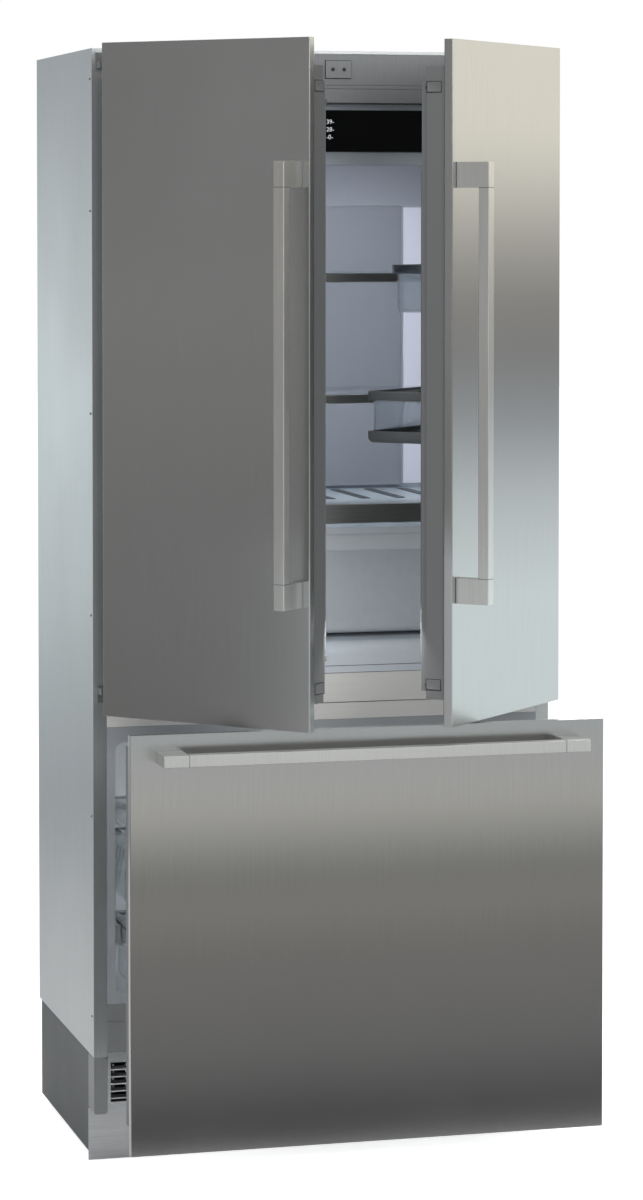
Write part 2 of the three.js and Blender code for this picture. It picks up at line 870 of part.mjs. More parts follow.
// The cabinet's half of a concealed hinge: a plate on the frame with an arm above or below the door.
function hinge([z0, z1], armBottom) {
  const left = -halfWidth + 2 * bodyEdgeInset;
  return join(
    box([left, left + hingePlateWidth], [-hingePlateThickness, -touchGap], [z0, z1]),
    box(
      [left, left + hingeArmWidth],
      [-hingeArmReach, -hingePlateThickness + 1],
      [armBottom, armBottom + hingeArmHeight],
    ),
  );
}

const upperHinge = doorBody.top + hingeEndGap;
const lowerHinge = doorBody.bottom - hingeEndGap;
for (const { side, shape } of sides) {
  const upper = hinge([upperHinge, upperHinge + hingePlateHeight], upperHinge);
  const lower = hinge([lowerHinge - hingePlateHeight, lowerHinge], lowerHinge - hingeArmHeight);
  add(cabinet, `hinge_upper_${side}`, shape(upper), finishes.dark);
  add(cabinet, `hinge_lower_${side}`, shape(lower), finishes.dark);
}

// ---------------------------------------------------------------- freezer drawer

const freezerDrawer = body(refrigerator, 'freezer_drawer');
freezerDrawer.parent.position.y = -drawerTravel;

function drawerHandle() {
  const half = frontHalf - drawerHandleSideMargin;
  const top = drawerPanelTop - drawerHandleTopMargin;
  const up = [top - handleBarWidth, top];
  const front = panelFace - handleStandoff;
  const bar = roundedRectangle([front, front + handleBarDepth], up, handleEdgeRadius);
  const block = roundedRectangle([front, panelFace - touchGap], up, handleEdgeRadius);
  return join(
    prism(bar, 'x', -half, half),
    prism(block, 'x', -half, -half + handleBlock),
    prism(block, 'x', half - handleBlock, half),
  );
}

function slideRail() {
  const wall = -openingHalf + touchGap;
  const along = [railFront, railBack];
  return join(
    box([wall, wall + railPlate], along, [railBottom, trayLedgeTop]),
    box([wall, wall + trayLedgeWidth], along, [trayLedgeTop - trayLedgeThickness, trayLedgeTop]),
    box([wall, wall + railDepth - touchGap], along, [railBottom, railBottom + railHeight]),
  );
}

function drawerArm() {
  const outer = -openingHalf + railDepth + armSideGap;
  const bottom = railBottom + (railHeight - armHeight) / 2;
  return box(
    [outer, outer + armThickness],
    [bodyBack + touchGap, railBack],
    [bottom, bottom + armHeight],
  );
}

function lowerBin() {
  const armTop = railBottom + (railHeight + armHeight) / 2;
  const top = armTop + touchGap + tubRim;
  return tub(
    [-tubHalf, tubHalf],
    [lowerBinFront, freezerDepth - lowerBinBackGap],
    [freezerOpeningBottom + lowerBinFloorGap, top],
    tubWall,
    tubSideGap + armThickness - 1,
  );
}

function freezerTray() {
  return tub(
    [-tubHalf, tubHalf],
    [trayFront, freezerDepth - trayBackGap],
    [trayBottom, trayLedgeTop + touchGap + tubRim],
    tubWall,
    openingHalf - tubHalf - trayLedgeWidth / 2,
  );
}

const drawerFrontSpan = [-frontHalf + bodyEdgeInset, frontHalf - bodyEdgeInset];
add(
  freezerDrawer,
  'drawer_panel',
  frontPanel([-frontHalf, frontHalf], [drawerPanelBottom, drawerPanelTop]),
  finishes.stainless,
);
add(
  freezerDrawer,
  'drawer_body',
  box(drawerFrontSpan, [panelBack + touchGap, bodyBack], [drawerBodySpan.bottom, drawerBodySpan.top]),
  finishes.doorBody,
);
add(
  freezerDrawer,
  'drawer_gasket',
  ring(
    [-openingHalf - drawerGasketLap, openingHalf + drawerGasketLap],
    [bodyBack + touchGap, -touchGap],
    [freezerOpeningBottom - drawerGasketLap, freezerOpeningTop + drawerGasketLap],
    gasketWidth,
  ),
  finishes.gasket,
);
add(freezerDrawer, 'drawer_handle', drawerHandle(), finishes.stainless);
add(freezerDrawer, 'drawer_bin', lowerBin(), finishes.clear);
for (const { side, shape } of sides) {
  add(freezerDrawer, `drawer_arm_${side}`, shape(drawerArm()), finishes.aluminium);
  add(cabinet, `freezer_rail_${side}`, shape(slideRail()), finishes.aluminium);
}

const tray = body(refrigerator, 'freezer_tray_slide');
add(tray, 'freezer_tray', freezerTray(), finishes.clear);

// ---------------------------------------------------------------- base

function cornerCover() {
  const section = roundedRectangle(
    [-halfWidth, -halfWidth + stileWidth],
    [cornerCoverBottom, casingBottom - touchGap],
    cornerRadius,
  );
  return prism(section, 'y', 0, toeRecess - touchGap);
}

function baseFrame() {
  const across = [-insideCasing, insideCasing];
  const up = [baseBottom, lowerRailBottom - touchGap];
  const s = baseSheet;
  const windowHalf = insideCasing / 2;
  const windowBottom = baseBottom + inletLift;
  return cut(
    join(
      box(across, [baseFront, baseBack], up),
      box([-frameHalf, frameHalf], [grilleDepth + touchGap + 1, baseFront + 1], [up[1] - s, up[1]]),
    ),
    box([across[0] + s, across[1] - s], [baseFront - 1, baseBack - s], [up[0] + s, up[1] - s]),
    box([-windowHalf, windowHalf], [baseBack - s - 1, baseBack + 1], [windowBottom, up[1] - 4 * inletDepth]),
  );
}

function ventGrille() {
  const top = lowerRailBottom - touchGap;
  const across = [-frameHalf, frameHalf];
  const through = [0, grilleDepth];
  const slatBand = [grilleBottom + grilleBottomStrip, top - grilleTopStrip];
  const pitch = (slatBand[1] - slatBand[0]) / (grilleSlats + 0.5);
  const slats = Array.from({ length: grilleSlats }, (_, row) => {
    const slat = new THREE.BoxGeometry(2 * frameHalf - 2, grilleDepth, slatThickness);
    slat.rotateX(THREE.MathUtils.degToRad(slatTilt));
    return slat.translate(0, grilleDepth / 2, slatBand[0] + pitch * (row + 0.6));
  });
  return join(
    box(across, through, [grilleBottom, slatBand[0]]),
    box(across, through, [slatBand[1], top]),
    box([across[0], across[0] + grilleEndWidth], through, [grilleBottom, top]),
    box([across[1] - grilleEndWidth, across[1]], through, [grilleBottom, top]),
    ...slats,
  );
}

function toeKick() {
  const across = [-halfWidth, halfWidth];
  const top = cornerCoverBottom - touchGap;
  return join(
    box(across, [toeRecess, toeRecess + toeSheet], [toeFloorGap, top]),
    box([-frameHalf, frameHalf], [toeRecess, toeRecess + toeSheet], [toeFloorGap, toeHeight]),
  );
}

function levellingFoot() {
  const profile = [
    [0, 0],
    [footRadius - 2, 0],
    [footRadius, 2],
    [footRadius, footPad - 2],
    [footStemRadius, footPad],
    [footStemRadius, footTop],
    [0, footTop],
  ];
  const foot = new THREE.LatheGeometry(profile.map(([r, z]) => new THREE.Vector2(r, z)), 20);
  foot.rotateX(Math.PI / 2);
  return foot.translate(-halfWidth + footSideInset, toeRecess + footFromToe, 0);
}

function rearSkid() {
  const half = halfWidth - skidSideInset;
  const back = cabinetDepth - skidBackInset;
  const section = outline([
    [back - skidWidth + 6, 0],
    [back - 6, 0],
    [back, 6],
    [back, footTop],
    [back - skidWidth, footTop],
    [back - skidWidth, 6],
  ]);
  return prism(section, 'x', -half, half);
}

for (const { side, shape } of sides) {
  add(cabinet, `corner_cover_${side}`, shape(cornerCover()), finishes.frame);
  add(cabinet, `levelling_foot_${side}`, shape(levellingFoot()), finishes.dark);
}
add(cabinet, 'base_frame', baseFrame(), finishes.base);
add(cabinet, 'vent_grille', ventGrille(), finishes.aluminium);
add(cabinet, 'toe_kick', toeKick(), finishes.stainless);
add(cabinet, 'rear_skid', rearSkid(), finishes.dark);

// ---------------------------------------------------------------- machine compartment, cold side

function compressor() {
  const r = compressorRadius;
  const shell = new THREE.Shape();
  shell.moveTo(0, 0);
  shell.lineTo(r + 14, 0);
  shell.lineTo(r + 14, 6);
  shell.lineTo(r - 6, 6);
  shell.lineTo(r, 40);
  shell.lineTo(r, compressorHeight - 60);
  shell.absarc(r - 50, compressorHeight - 50, 50, 0, Math.PI / 2);
  shell.lineTo(0, compressorHeight);
  const dome = new THREE.LatheGeometry(shell.getPoints(arcSteps), 24);
  dome.rotateX(Math.PI / 2);
  return dome.translate(halfWidth - compressorSideInset, baseBack - compressorBackInset, compressorFloor);
}

// A back plate with a row of upright fins.
function finnedBlock([x0, x1], [y0, y1], [z0, z1]) {
  const pitch = (x1 - x0 - finThickness) / (finCount - 1);
  const fins = Array.from({ length: finCount }, (_, i) => box(
    [x0 + i * pitch, x0 + i * pitch + finThickness],
    [y0, y1 - finBase + 1],
    [z0, z1],
  ));
  return join(box([x0, x1], [y1 - finBase, y1], [z0, z1]), ...fins);
}

add(cabinet, 'compressor', compressor(), finishes.dark);

const condenserLeft = -halfWidth + condenserSideInset;
const condenserFront = baseFront + condenserFromToe;
const condenserBottom = baseBottom + baseSheet + touchGap;
add(
  cabinet,
  'condenser',
  finnedBlock(
    [condenserLeft, condenserLeft + condenserWidth],
    [condenserFront, condenserFront + condenserDepth],
    [condenserBottom, condenserBottom + condenserHeight],
  ),
  finishes.aluminium,
);

const evaporatorHalf = openingHalf - evaporatorSideInset;
add(
  cabinet,
  'evaporator',
  finnedBlock(
    [-evaporatorHalf, evaporatorHalf],
    [freezerBack + evaporatorClearance, cabinetDepth - evaporatorBackCover - evaporatorClearance],
    [freezerOpeningBottom + evaporatorEndInset, freezerOpeningTop - evaporatorEndInset],
  ),
  finishes.aluminium,
);

const inletX = -halfWidth + inletSideInset;
add(
  cabinet,
  'power_inlet',
  box(
    [inletX, inletX + inletWidth],
    [baseBack + touchGap, baseBack + touchGap + inletDepth],
    [baseBottom + inletLift, baseBottom + inletLift + inletHeight],
  ),
  finishes.dark,
);

// ---------------------------------------------------------------- origin

// The origin is the centre of the base of the appliance as it stands.
refrigerator.updateMatrixWorld(true);
const extent = new THREE.Box3().setFromObject(refrigerator, true);
refrigerator.position.set(
  -(extent.min.x + extent.max.x) / 2,
  -(extent.min.y + extent.max.y) / 2,
  -extent.min.z,
);

export default refrigerator;
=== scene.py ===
import json
import math

import bpy
from mathutils import Matrix, Vector

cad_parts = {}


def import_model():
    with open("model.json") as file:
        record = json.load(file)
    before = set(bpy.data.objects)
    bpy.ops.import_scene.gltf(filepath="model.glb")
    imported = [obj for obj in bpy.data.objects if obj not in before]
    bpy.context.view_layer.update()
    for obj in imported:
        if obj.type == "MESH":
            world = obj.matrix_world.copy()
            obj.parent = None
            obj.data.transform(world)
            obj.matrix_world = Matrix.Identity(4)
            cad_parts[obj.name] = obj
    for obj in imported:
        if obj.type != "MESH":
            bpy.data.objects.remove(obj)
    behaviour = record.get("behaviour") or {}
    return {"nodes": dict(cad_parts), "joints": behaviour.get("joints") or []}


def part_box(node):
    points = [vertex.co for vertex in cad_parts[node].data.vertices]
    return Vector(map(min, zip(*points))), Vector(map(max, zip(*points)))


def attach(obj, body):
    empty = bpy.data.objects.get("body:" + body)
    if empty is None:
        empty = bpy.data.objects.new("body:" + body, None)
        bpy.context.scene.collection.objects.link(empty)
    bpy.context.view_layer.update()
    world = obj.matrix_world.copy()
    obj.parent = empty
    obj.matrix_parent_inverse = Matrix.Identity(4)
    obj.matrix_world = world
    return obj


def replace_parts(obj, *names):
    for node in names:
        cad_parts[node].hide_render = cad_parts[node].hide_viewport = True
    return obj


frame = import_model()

nodes = frame["nodes"]
hinges = {joint["name"]: joint for joint in frame["joints"]}
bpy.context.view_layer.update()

MM = 0.001
UP, DOWN = Vector((0, 0, 1)), Vector((0, 0, -1))
FRONT, BACK = Vector((0, -1, 0)), Vector((0, 1, 0))
LEFT, RIGHT = Vector((-1, 0, 0)), Vector((1, 0, 0))
SIDES = {"left": -1, "right": 1}

HANDLE_BLOCK = 47 * MM  # length of a handle's end block
HANDLE_DEPTH = 21 * MM
SEAM_PROUD = 0.12 * MM
HEADER_GROOVE = 66 * MM  # header cover's top down to its groove
DIVIDER_GROOVE = 32 * MM  # divider cover's bottom up to its groove
HEADER_RECESS = (3.3 * MM, 27.6 * MM)  # header's face back to the ends of its set-back part


# ------------------------------------------------------------------ the shut doors' places

def shut_turn(side):
    """The turn that shuts a door from the place where it stands."""
    hinge = hinges[f"{side}_door_hinge"]
    pivot = Matrix.Translation(hinge["pos_m"])
    turn = Matrix.Rotation(math.radians(hinge["range_deg"][0]), 4, Vector(hinge["axis"]))
    return pivot @ turn @ pivot.inverted()


def shut_box(node, side):
    """A door node's lowest and highest corner with the door shut."""
    turn = shut_turn(side)
    places = [turn @ vertex.co for vertex in nodes[node].data.vertices]
    return [Vector(pick(values) for values in zip(*places)) for pick in (min, max)]


# ------------------------------------------------------------------ modelling

def select_only(*pieces):
    bpy.ops.object.select_all(action="DESELECT")
    for piece in pieces:
        piece.select_set(True)
    bpy.context.view_layer.objects.active = pieces[0]


def settle(piece):
    """Puts a piece's place, turn and scale into its mesh."""
    select_only(piece)
    bpy.ops.object.transform_apply(location=True, rotation=True, scale=True)
    return piece


def block(name, low, high):
    bpy.ops.object.select_all(action="DESELECT")
    low, high = Vector(low), Vector(high)
    bpy.ops.mesh.primitive_cube_add(size=1, location=(low + high) / 2, scale=high - low)
    piece = bpy.context.object
    piece.name = name
    return settle(piece)


def rod(name, centre, radius, length, along=UP, vertices=32):
    bpy.ops.object.select_all(action="DESELECT")
    bpy.ops.mesh.primitive_cylinder_add(
        vertices=vertices, radius=radius, depth=length, location=centre,
        rotation=along.to_track_quat("Z", "Y").to_euler())
    piece = bpy.context.object
    piece.name = name
    return settle(piece)


def select_faces(piece, facing):
    """Enters edit mode with only the faces that look one way selected."""
    select_only(piece)
    bpy.ops.object.mode_set(mode="EDIT")
    bpy.ops.mesh.select_mode(type="FACE")
    bpy.ops.mesh.select_all(action="DESELECT")
    bpy.ops.object.mode_set(mode="OBJECT")
    for face in piece.data.polygons:
        face.select = face.normal.dot(facing) > 0.9
    bpy.ops.object.mode_set(mode="EDIT")


def remove_faces(piece, *directions):
    for facing in directions:
        select_faces(piece, facing)
        bpy.ops.mesh.delete(type="FACE")
        bpy.ops.object.mode_set(mode="OBJECT")
    return piece


def sink_face(piece, facing, margin, depth):
    """Insets the faces that look one way and pushes them in, or out for a negative depth."""
    select_faces(piece, facing)
    bpy.ops.mesh.inset(thickness=margin, depth=0)
    bpy.ops.mesh.extrude_region_move(TRANSFORM_OT_translate={"value": -depth * facing})
    bpy.ops.object.mode_set(mode="OBJECT")
    return piece


def apply_modifier(piece, modifier):
    select_only(piece)
    bpy.ops.object.modifier_apply(modifier=modifier.name)
    return piece


def soften(piece, width, segments=3, angle=40):
    edges = piece.modifiers.new("Softened edges", "BEVEL")
    edges.width = width
    edges.segments = segments
    edges.limit_method = "ANGLE"
    edges.angle_limit = math.radians(angle)
    apply_modifier(piece, edges)
    bpy.ops.object.shade_smooth_by_angle(angle=math.radians(35))
    return piece


def thicken(piece, wall, offset=-1):
    walls = piece.modifiers.new("Walls", "SOLIDIFY")
    walls.thickness = wall
    walls.offset = offset
    walls.use_even_offset = True
    return apply_modifier(piece, walls)


def merge(name, *pieces):
    select_only(*pieces)
    bpy.ops.object.join()
    pieces[0].name = name
    return pieces[0]


def copies(piece, shifts):
    """The piece once at each shift, all joined into one."""
    made = []
    for shift in shifts:
        copy = piece.copy()
        copy.data = piece.data.copy()
        bpy.context.scene.collection.objects.link(copy)
        copy.location = shift
        made.append(settle(copy))
    name = piece.name
    bpy.data.objects.remove(piece)
    return merge(name, *made)


def tub(name, low, high, wall, corner):
    """An open-topped moulded tub with rounded corners."""
    piece = remove_faces(block(name, low, high), UP)
    soften(piece, corner, 5)
    thicken(piece, wall)
    return soften(piece, wall * 0.3, 2, 60)


def band(name, low, high, wall, corner):
    """A moulded band, open above and below, with rounded corners."""
    piece = remove_faces(block(name, low, high), UP, DOWN)
    soften(piece, corner, 5)
    thicken(piece, wall)
    return soften(piece, wall * 0.25, 2, 60)


def screw(name, centre, facing, radius=4 * MM, height=1.6 * MM):
    """A domed screw head with a sunk drive."""
    head = rod(name, Vector(centre) + facing * height / 2, radius, height, facing, 24)
    sink_face(head, facing, radius * 0.55, height * 0.6)
    return soften(head, height * 0.3, 2, 50)


def screws(name, centres, facing, radius=4 * MM):
    first = screw(name, centres[0], facing, radius)
    return copies(first, [Vector(centre) - Vector(centres[0]) for centre in centres])


# ------------------------------------------------------------------ shared effects

def new_group(name, inputs, outputs):
    group = bpy.data.node_groups.new(name, "ShaderNodeTree")
    for label, kind, value in inputs:
        socket = group.interface.new_socket(label, in_out="INPUT", socket_type=kind)
        socket.default_value = value
    for label, kind in outputs:
        group.interface.new_socket(label, in_out="OUTPUT", socket_type=kind)
    return group, group.nodes.new("NodeGroupInput"), group.nodes.new("NodeGroupOutput")


def surface_grain_group():
    """Fine stretched grain, and a slow cloud for handling marks, from the piece's own place."""
    group, given, out = new_group(
        "Surface grain",
        [("Stretch", "NodeSocketVector", (1, 1, 1)), ("Fineness", "NodeSocketFloat", 400.0)],
        [("Grain", "NodeSocketFloat"), ("Cloud", "NodeSocketFloat")])
    add, link = group.nodes.new, group.links.new
    place = add("ShaderNodeTexCoord")
    stretched = add("ShaderNodeVectorMath")
    stretched.operation = "MULTIPLY"
    link(place.outputs["Object"], stretched.inputs[0])
    link(given.outputs["Stretch"], stretched.inputs[1])
    grain = add("ShaderNodeTexNoise")
    grain.inputs["Detail"].default_value = 4
    grain.inputs["Roughness"].default_value = 0.65
    link(stretched.outputs["Vector"], grain.inputs["Vector"])
    link(given.outputs["Fineness"], grain.inputs["Scale"])
    cloud = add("ShaderNodeTexNoise")
    cloud.inputs["Scale"].default_value = 2.6
    cloud.inputs["Detail"].default_value = 5
    link(place.outputs["Object"], cloud.inputs["Vector"])
    link(grain.outputs["Fac"], out.inputs["Grain"])
    link(cloud.outputs["Fac"], out.inputs["Cloud"])
    return group


def rounded_edge_group():
    """A normal that rounds sharp folds, and a mask of where the folds are."""
    group, given, out = new_group(
        "Rounded edge",
        [("Radius", "NodeSocketFloat", 0.001)],
        [("Edge", "NodeSocketFloat"), ("Normal", "NodeSocketVector")])
    add, link = group.nodes.new, group.links.new
    rounded = add("ShaderNodeBevel")
    rounded.samples = 4
    link(given.outputs["Radius"], rounded.inputs["Radius"])
    true_normal = add("ShaderNodeNewGeometry")
    likeness = add("ShaderNodeVectorMath")
    likeness.operation = "DOT_PRODUCT"
    link(rounded.outputs["Normal"], likeness.inputs[0])
    link(true_normal.outputs["Normal"], likeness.inputs[1])
    mask = add("ShaderNodeMapRange")
    mask.inputs["From Min"].default_value = 1.0
    mask.inputs["From Max"].default_value = 0.75
    link(likeness.outputs["Value"], mask.inputs["Value"])
    link(mask.outputs["Result"], out.inputs["Edge"])
    link(rounded.outputs["Normal"], out.inputs["Normal"])
    return group


surface_grain = surface_grain_group()
rounded_edge = rounded_edge_group()


# ------------------------------------------------------------------ materials

def rgb(red, green, blue):
    """A display colour, 0 to 255, as the linear colour that shaders take."""
    parts = [value / 255 for value in (red, green, blue)]
    return [part / 12.92 if part <= 0.04045 else ((part + 0.055) / 1.055) ** 2.4 for part in parts] + [1]


def finish(name, light, dark, roughness, metallic=0.0, stretch=(1, 1, 1), fineness=400.0,
           bump=0.05, depth=0.0002, edge_shine_and_wear=0.15, radius=0.001, **constants):
    """A surface with grain, handling marks, and edges lightened: painted highlight and wear."""
    material = bpy.data.materials.new(name)
    material.use_nodes = True
    tree = material.node_tree
    add, link = tree.nodes.new, tree.links.new
    shader = tree.nodes["Principled BSDF"]
    grain = add("ShaderNodeGroup")
    grain.node_tree = surface_grain
    grain.inputs["Stretch"].default_value = stretch
    grain.inputs["Fineness"].default_value = fineness
    edge = add("ShaderNodeGroup")
    edge.node_tree = rounded_edge
    edge.inputs["Radius"].default_value = radius
    tone = add("ShaderNodeMix")
    tone.data_type = "RGBA"
    tone.inputs["A"].default_value = rgb(*dark)
    tone.inputs["B"].default_value = rgb(*light)
    contrast = add("ShaderNodeMapRange")
    contrast.inputs["From Min"].default_value = 0.3
    contrast.inputs["From Max"].default_value = 0.7
    link(grain.outputs["Grain"], contrast.inputs["Value"])
    link(contrast.outputs["Result"], tone.inputs["Factor"])
    # Edges and folds are lightened by a screen mix: partly painted highlight, partly edge wear.
    lit_and_worn_edges = add("ShaderNodeMix")
    lit_and_worn_edges.data_type = "RGBA"
    lit_and_worn_edges.blend_type = "SCREEN"
    lit_and_worn_edges.inputs["B"].default_value = (edge_shine_and_wear, edge_shine_and_wear, edge_shine_and_wear, 1)
    link(edge.outputs["Edge"], lit_and_worn_edges.inputs["Factor"])
    link(tone.outputs["Result"], lit_and_worn_edges.inputs["A"])
    link(lit_and_worn_edges.outputs["Result"], shader.inputs["Base Color"])
    sheen_marks = add("ShaderNodeMapRange")
    sheen_marks.inputs["From Min"].default_value = 0.3
    sheen_marks.inputs["From Max"].default_value = 0.7
    sheen_marks.inputs["To Min"].default_value = roughness[0]
    sheen_marks.inputs["To Max"].default_value = roughness[1]
    link(grain.outputs["Cloud"], sheen_marks.inputs["Value"])
    link(sheen_marks.outputs["Result"], shader.inputs["Roughness"])
    relief = add("ShaderNodeBump")
    relief.inputs["Strength"].default_value = bump
    relief.inputs["Distance"].default_value = depth
    link(grain.outputs["Grain"], relief.inputs["Height"])
    link(edge.outputs["Normal"], relief.inputs["Normal"])
    link(relief.outputs["Normal"], shader.inputs["Normal"])
    shader.inputs["Metallic"].default_value = metallic
    for socket, value in constants.items():
        shader.inputs[socket.replace("_", " ")].default_value = value
    return material


def brushed(name, light, dark, roughness, along="z", **more):
    """Brushed metal, its grain long one way and fine across it."""
    stretch = {"z": (1, 1, 0.012), "x": (0.012, 1, 1), "y": (1, 0.012, 1)}[along]
    return finish(name, light, dark, roughness, metallic=1.0, stretch=stretch, fineness=600.0, **more)


def add_tangent(material):
    """Brushing spreads a reflection across the grain, so the sheen runs round the upright axis."""
    tree = material.node_tree
    tangent = tree.nodes.new("ShaderNodeTangent")
    tangent.direction_type = "RADIAL"
    tangent.axis = "Z"
    tree.links.new(tangent.outputs["Tangent"], tree.nodes["Principled BSDF"].inputs["Tangent"])
    return material


stainless_front = add_tangent(brushed(
    "Brushed stainless front", (193, 193, 192), (187, 187, 186), (0.2, 0.24), bump=0.012,
    Anisotropic=0.6))
stainless_handle = brushed(
    "Satin stainless handle", (220, 219, 216), (206, 205, 202), (0.3, 0.38), bump=0.05)
stainless_toe = brushed(
    "Brushed stainless toe kick", (205, 206, 208), (188, 189, 191), (0.3, 0.42), along="x")
stainless_trim = brushed(
    "Brushed stainless trim", (200, 199, 196), (180, 179, 176), (0.3, 0.4), along="x")
casing_sheet = brushed(
    "Galvanised casing sheet", (203, 206, 206), (192, 195, 196), (0.36, 0.44), bump=0.03)
frame_paint = finish(
    "Grey frame", (140, 142, 143), (131, 133, 134), (0.38, 0.5), stretch=(1, 1, 0.02),
    fineness=800.0, metallic=0.25)
# The divider's pale warm tone is painted light: its steel front shown lit, with the interior's light painted
# in as reflection.
divider_lit_paint = finish(
    "Pale frame", (222, 221, 218), (215, 214, 211), (0.4, 0.5), stretch=(0.02, 1, 1), fineness=700.0,
    metallic=0.15)
door_shell = finish("Grey door shell", (112, 113, 113), (104, 105, 105), (0.45, 0.55), fineness=900.0)
liner_plastic = finish("Fridge liner", (196, 203, 210), (189, 196, 203), (0.3, 0.42), fineness=700.0)
freezer_plastic = finish("Freezer liner", (158, 162, 166), (149, 153, 157), (0.35, 0.48), fineness=700.0)
# The duct cover's tone, darker and bluer than the liner, is painted shade.
duct_shaded_plastic = finish("Duct cover", (160, 162, 170), (154, 156, 164), (0.3, 0.42), fineness=700.0)
black_glass = finish(
    "Black control glass", (14, 14, 15), (11, 11, 12), (0.06, 0.1), bump=0.0, edge_shine_and_wear=0.02)
seal_rubber = finish("Door seal", (114, 116, 118), (104, 106, 108), (0.6, 0.75), fineness=500.0)
dark_plastic = finish("Dark plastic", (46, 48, 50), (38, 40, 42), (0.5, 0.62), fineness=900.0)
grey_plastic = finish("Mid grey plastic", (92, 95, 98), (84, 87, 90), (0.45, 0.55), fineness=900.0)
dark_enamel = finish("Black enamel", (38, 39, 41), (30, 31, 33), (0.35, 0.5), fineness=300.0, bump=0.1)
base_coat = finish("Base coating", (98, 101, 103), (84, 87, 89), (0.5, 0.65), fineness=350.0, bump=0.1)
bare_aluminium = finish(
    "Aluminium", (206, 209, 211), (184, 188, 190), (0.32, 0.45), metallic=1.0, fineness=500.0)
copper_pipe = finish("Copper pipe", (196, 122, 86), (160, 96, 66), (0.3, 0.45), metallic=1.0)
foam_yellow = finish("Polyurethane foam", (226, 208, 150), (206, 186, 128), (0.85, 0.95), bump=0.4,
                     fineness=220.0, depth=0.001)
white_plastic = finish("White plastic", (206, 211, 217), (199, 204, 210), (0.3, 0.4), fineness=900.0)
hinge_steel = finish("Hinge steel", (128, 130, 131), (112, 114, 115), (0.35, 0.5), metallic=0.6)
screw_steel = finish("Screw steel", (150, 152, 154), (120, 122, 124), (0.3, 0.45), metallic=1.0)


def see_through(name, tint, roughness, alpha, ior):
    """A clear moulding with slow flow marks in its gloss."""
    # Its edges are lightened strongly: painted highlight and wear.
    material = finish(name, tint, [value * 0.97 for value in tint], roughness, bump=0.02,
                      edge_shine_and_wear=0.3, fineness=60.0, IOR=ior)
    shader = material.node_tree.nodes["Principled BSDF"]
    shader.inputs["Transmission Weight"].default_value = 1.0
    shader.inputs["Alpha"].default_value = alpha
    material.surface_render_method = "DITHERED"
    return material


shelf_glass = see_through("Shelf glass", (206, 220, 220), (0.02, 0.05), 0.5, 1.45)
clear_plastic = see_through("Clear plastic", (226, 234, 238), (0.05, 0.1), 0.4, 1.3)
frosted_plastic = see_through("Frosted plastic", (206, 213, 219), (0.3, 0.4), 1.0, 1.3)
frosted_plastic.node_tree.nodes["Principled BSDF"].inputs["Transmission Weight"].default_value = 0.15
smoked_plastic = see_through("Smoked plastic", (120, 126, 132), (0.08, 0.14), 0.7, 1.3)


def lamp(name, colour, strength):
    material = bpy.data.materials.new(name)
    material.use_nodes = True
    tree = material.node_tree
    shader = tree.nodes["Principled BSDF"]
    grain = tree.nodes.new("ShaderNodeGroup")
    grain.node_tree = surface_grain
    glow = tree.nodes.new("ShaderNodeMix")
    glow.data_type = "RGBA"
    glow.inputs["A"].default_value = rgb(*[value * 0.94 for value in colour])
    glow.inputs["B"].default_value = rgb(*colour)
    tree.links.new(grain.outputs["Cloud"], glow.inputs["Factor"])
    tree.links.new(glow.outputs["Result"], shader.inputs["Emission Color"])
    tree.links.new(glow.outputs["Result"], shader.inputs["Base Color"])
    shader.inputs["Emission Strength"].default_value = strength
    return material


light_column = lamp("Light column", (208, 209, 222), 0.34)
digit_light = lamp("Display digits", (235, 238, 240), 0.5)


def dress(material, *names):
    for name in names:
        nodes[name].data.materials.clear()
        nodes[name].data.materials.append(material)


def both(pattern):
    return [pattern.format(side) for side in SIDES]


dress(casing_sheet, "top_panel", "back_panel", *both("side_panel_{}"))
dress(foam_yellow, "foam_insulation")
dress(liner_plastic, "fridge_liner", "bottle_shelf")
dress(duct_shaded_plastic, "air_duct_cover")
dress(freezer_plastic, "freezer_liner")
dress(frame_paint, "header_cover", "lower_rail", "flap_guide", "centre_flap", *both("corner_cover_{}"))
dress(divider_lit_paint, "divider_cover")
dress(black_glass, "control_panel")
dress(shelf_glass, "shelf_lower", "shelf_upper")
dress(stainless_trim, "shelf_lower_trim", "shelf_upper_trim", "bottle_shelf_trim")
dress(dark_enamel, "compressor")
dress(hinge_steel, *both("hinge_upper_{}"), *both("hinge_lower_{}"))
dress(bare_aluminium, "condenser", "evaporator", "vent_grille")
dress(bare_aluminium, *both("freezer_rail_{}"), *both("drawer_arm_{}"))
dress(dark_plastic, "rear_skid", "power_inlet", *both("levelling_foot_{}"))
dress(base_coat, "base_frame")
dress(stainless_toe, "toe_kick")
dress(stainless_front, "drawer_panel", *both("door_panel_{}"))
dress(door_shell, "drawer_body", *both("door_body_{}"))
dress(seal_rubber, "drawer_gasket", *both("door_gasket_{}"))
dress(stainless_handle, "drawer_handle", *both("door_handle_{}"))
dress(white_plastic, "crisper_handle")
dress(clear_plastic, "crisper_bin", "freezer_tray", "drawer_bin")


def place(piece, body, material, slot_name):
    piece.data.materials.clear()
    piece.data.materials.append(material)
    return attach(piece, body)


def place_on_door(piece, side, material, slot_name):
    """Turns a piece made with the door shut to where the door stands, and hangs it on the door."""
    piece.matrix_world = shut_turn(side).inverted()
    return place(settle(piece), f"{side}_door", material, slot_name)


# ------------------------------------------------------------------ door bins

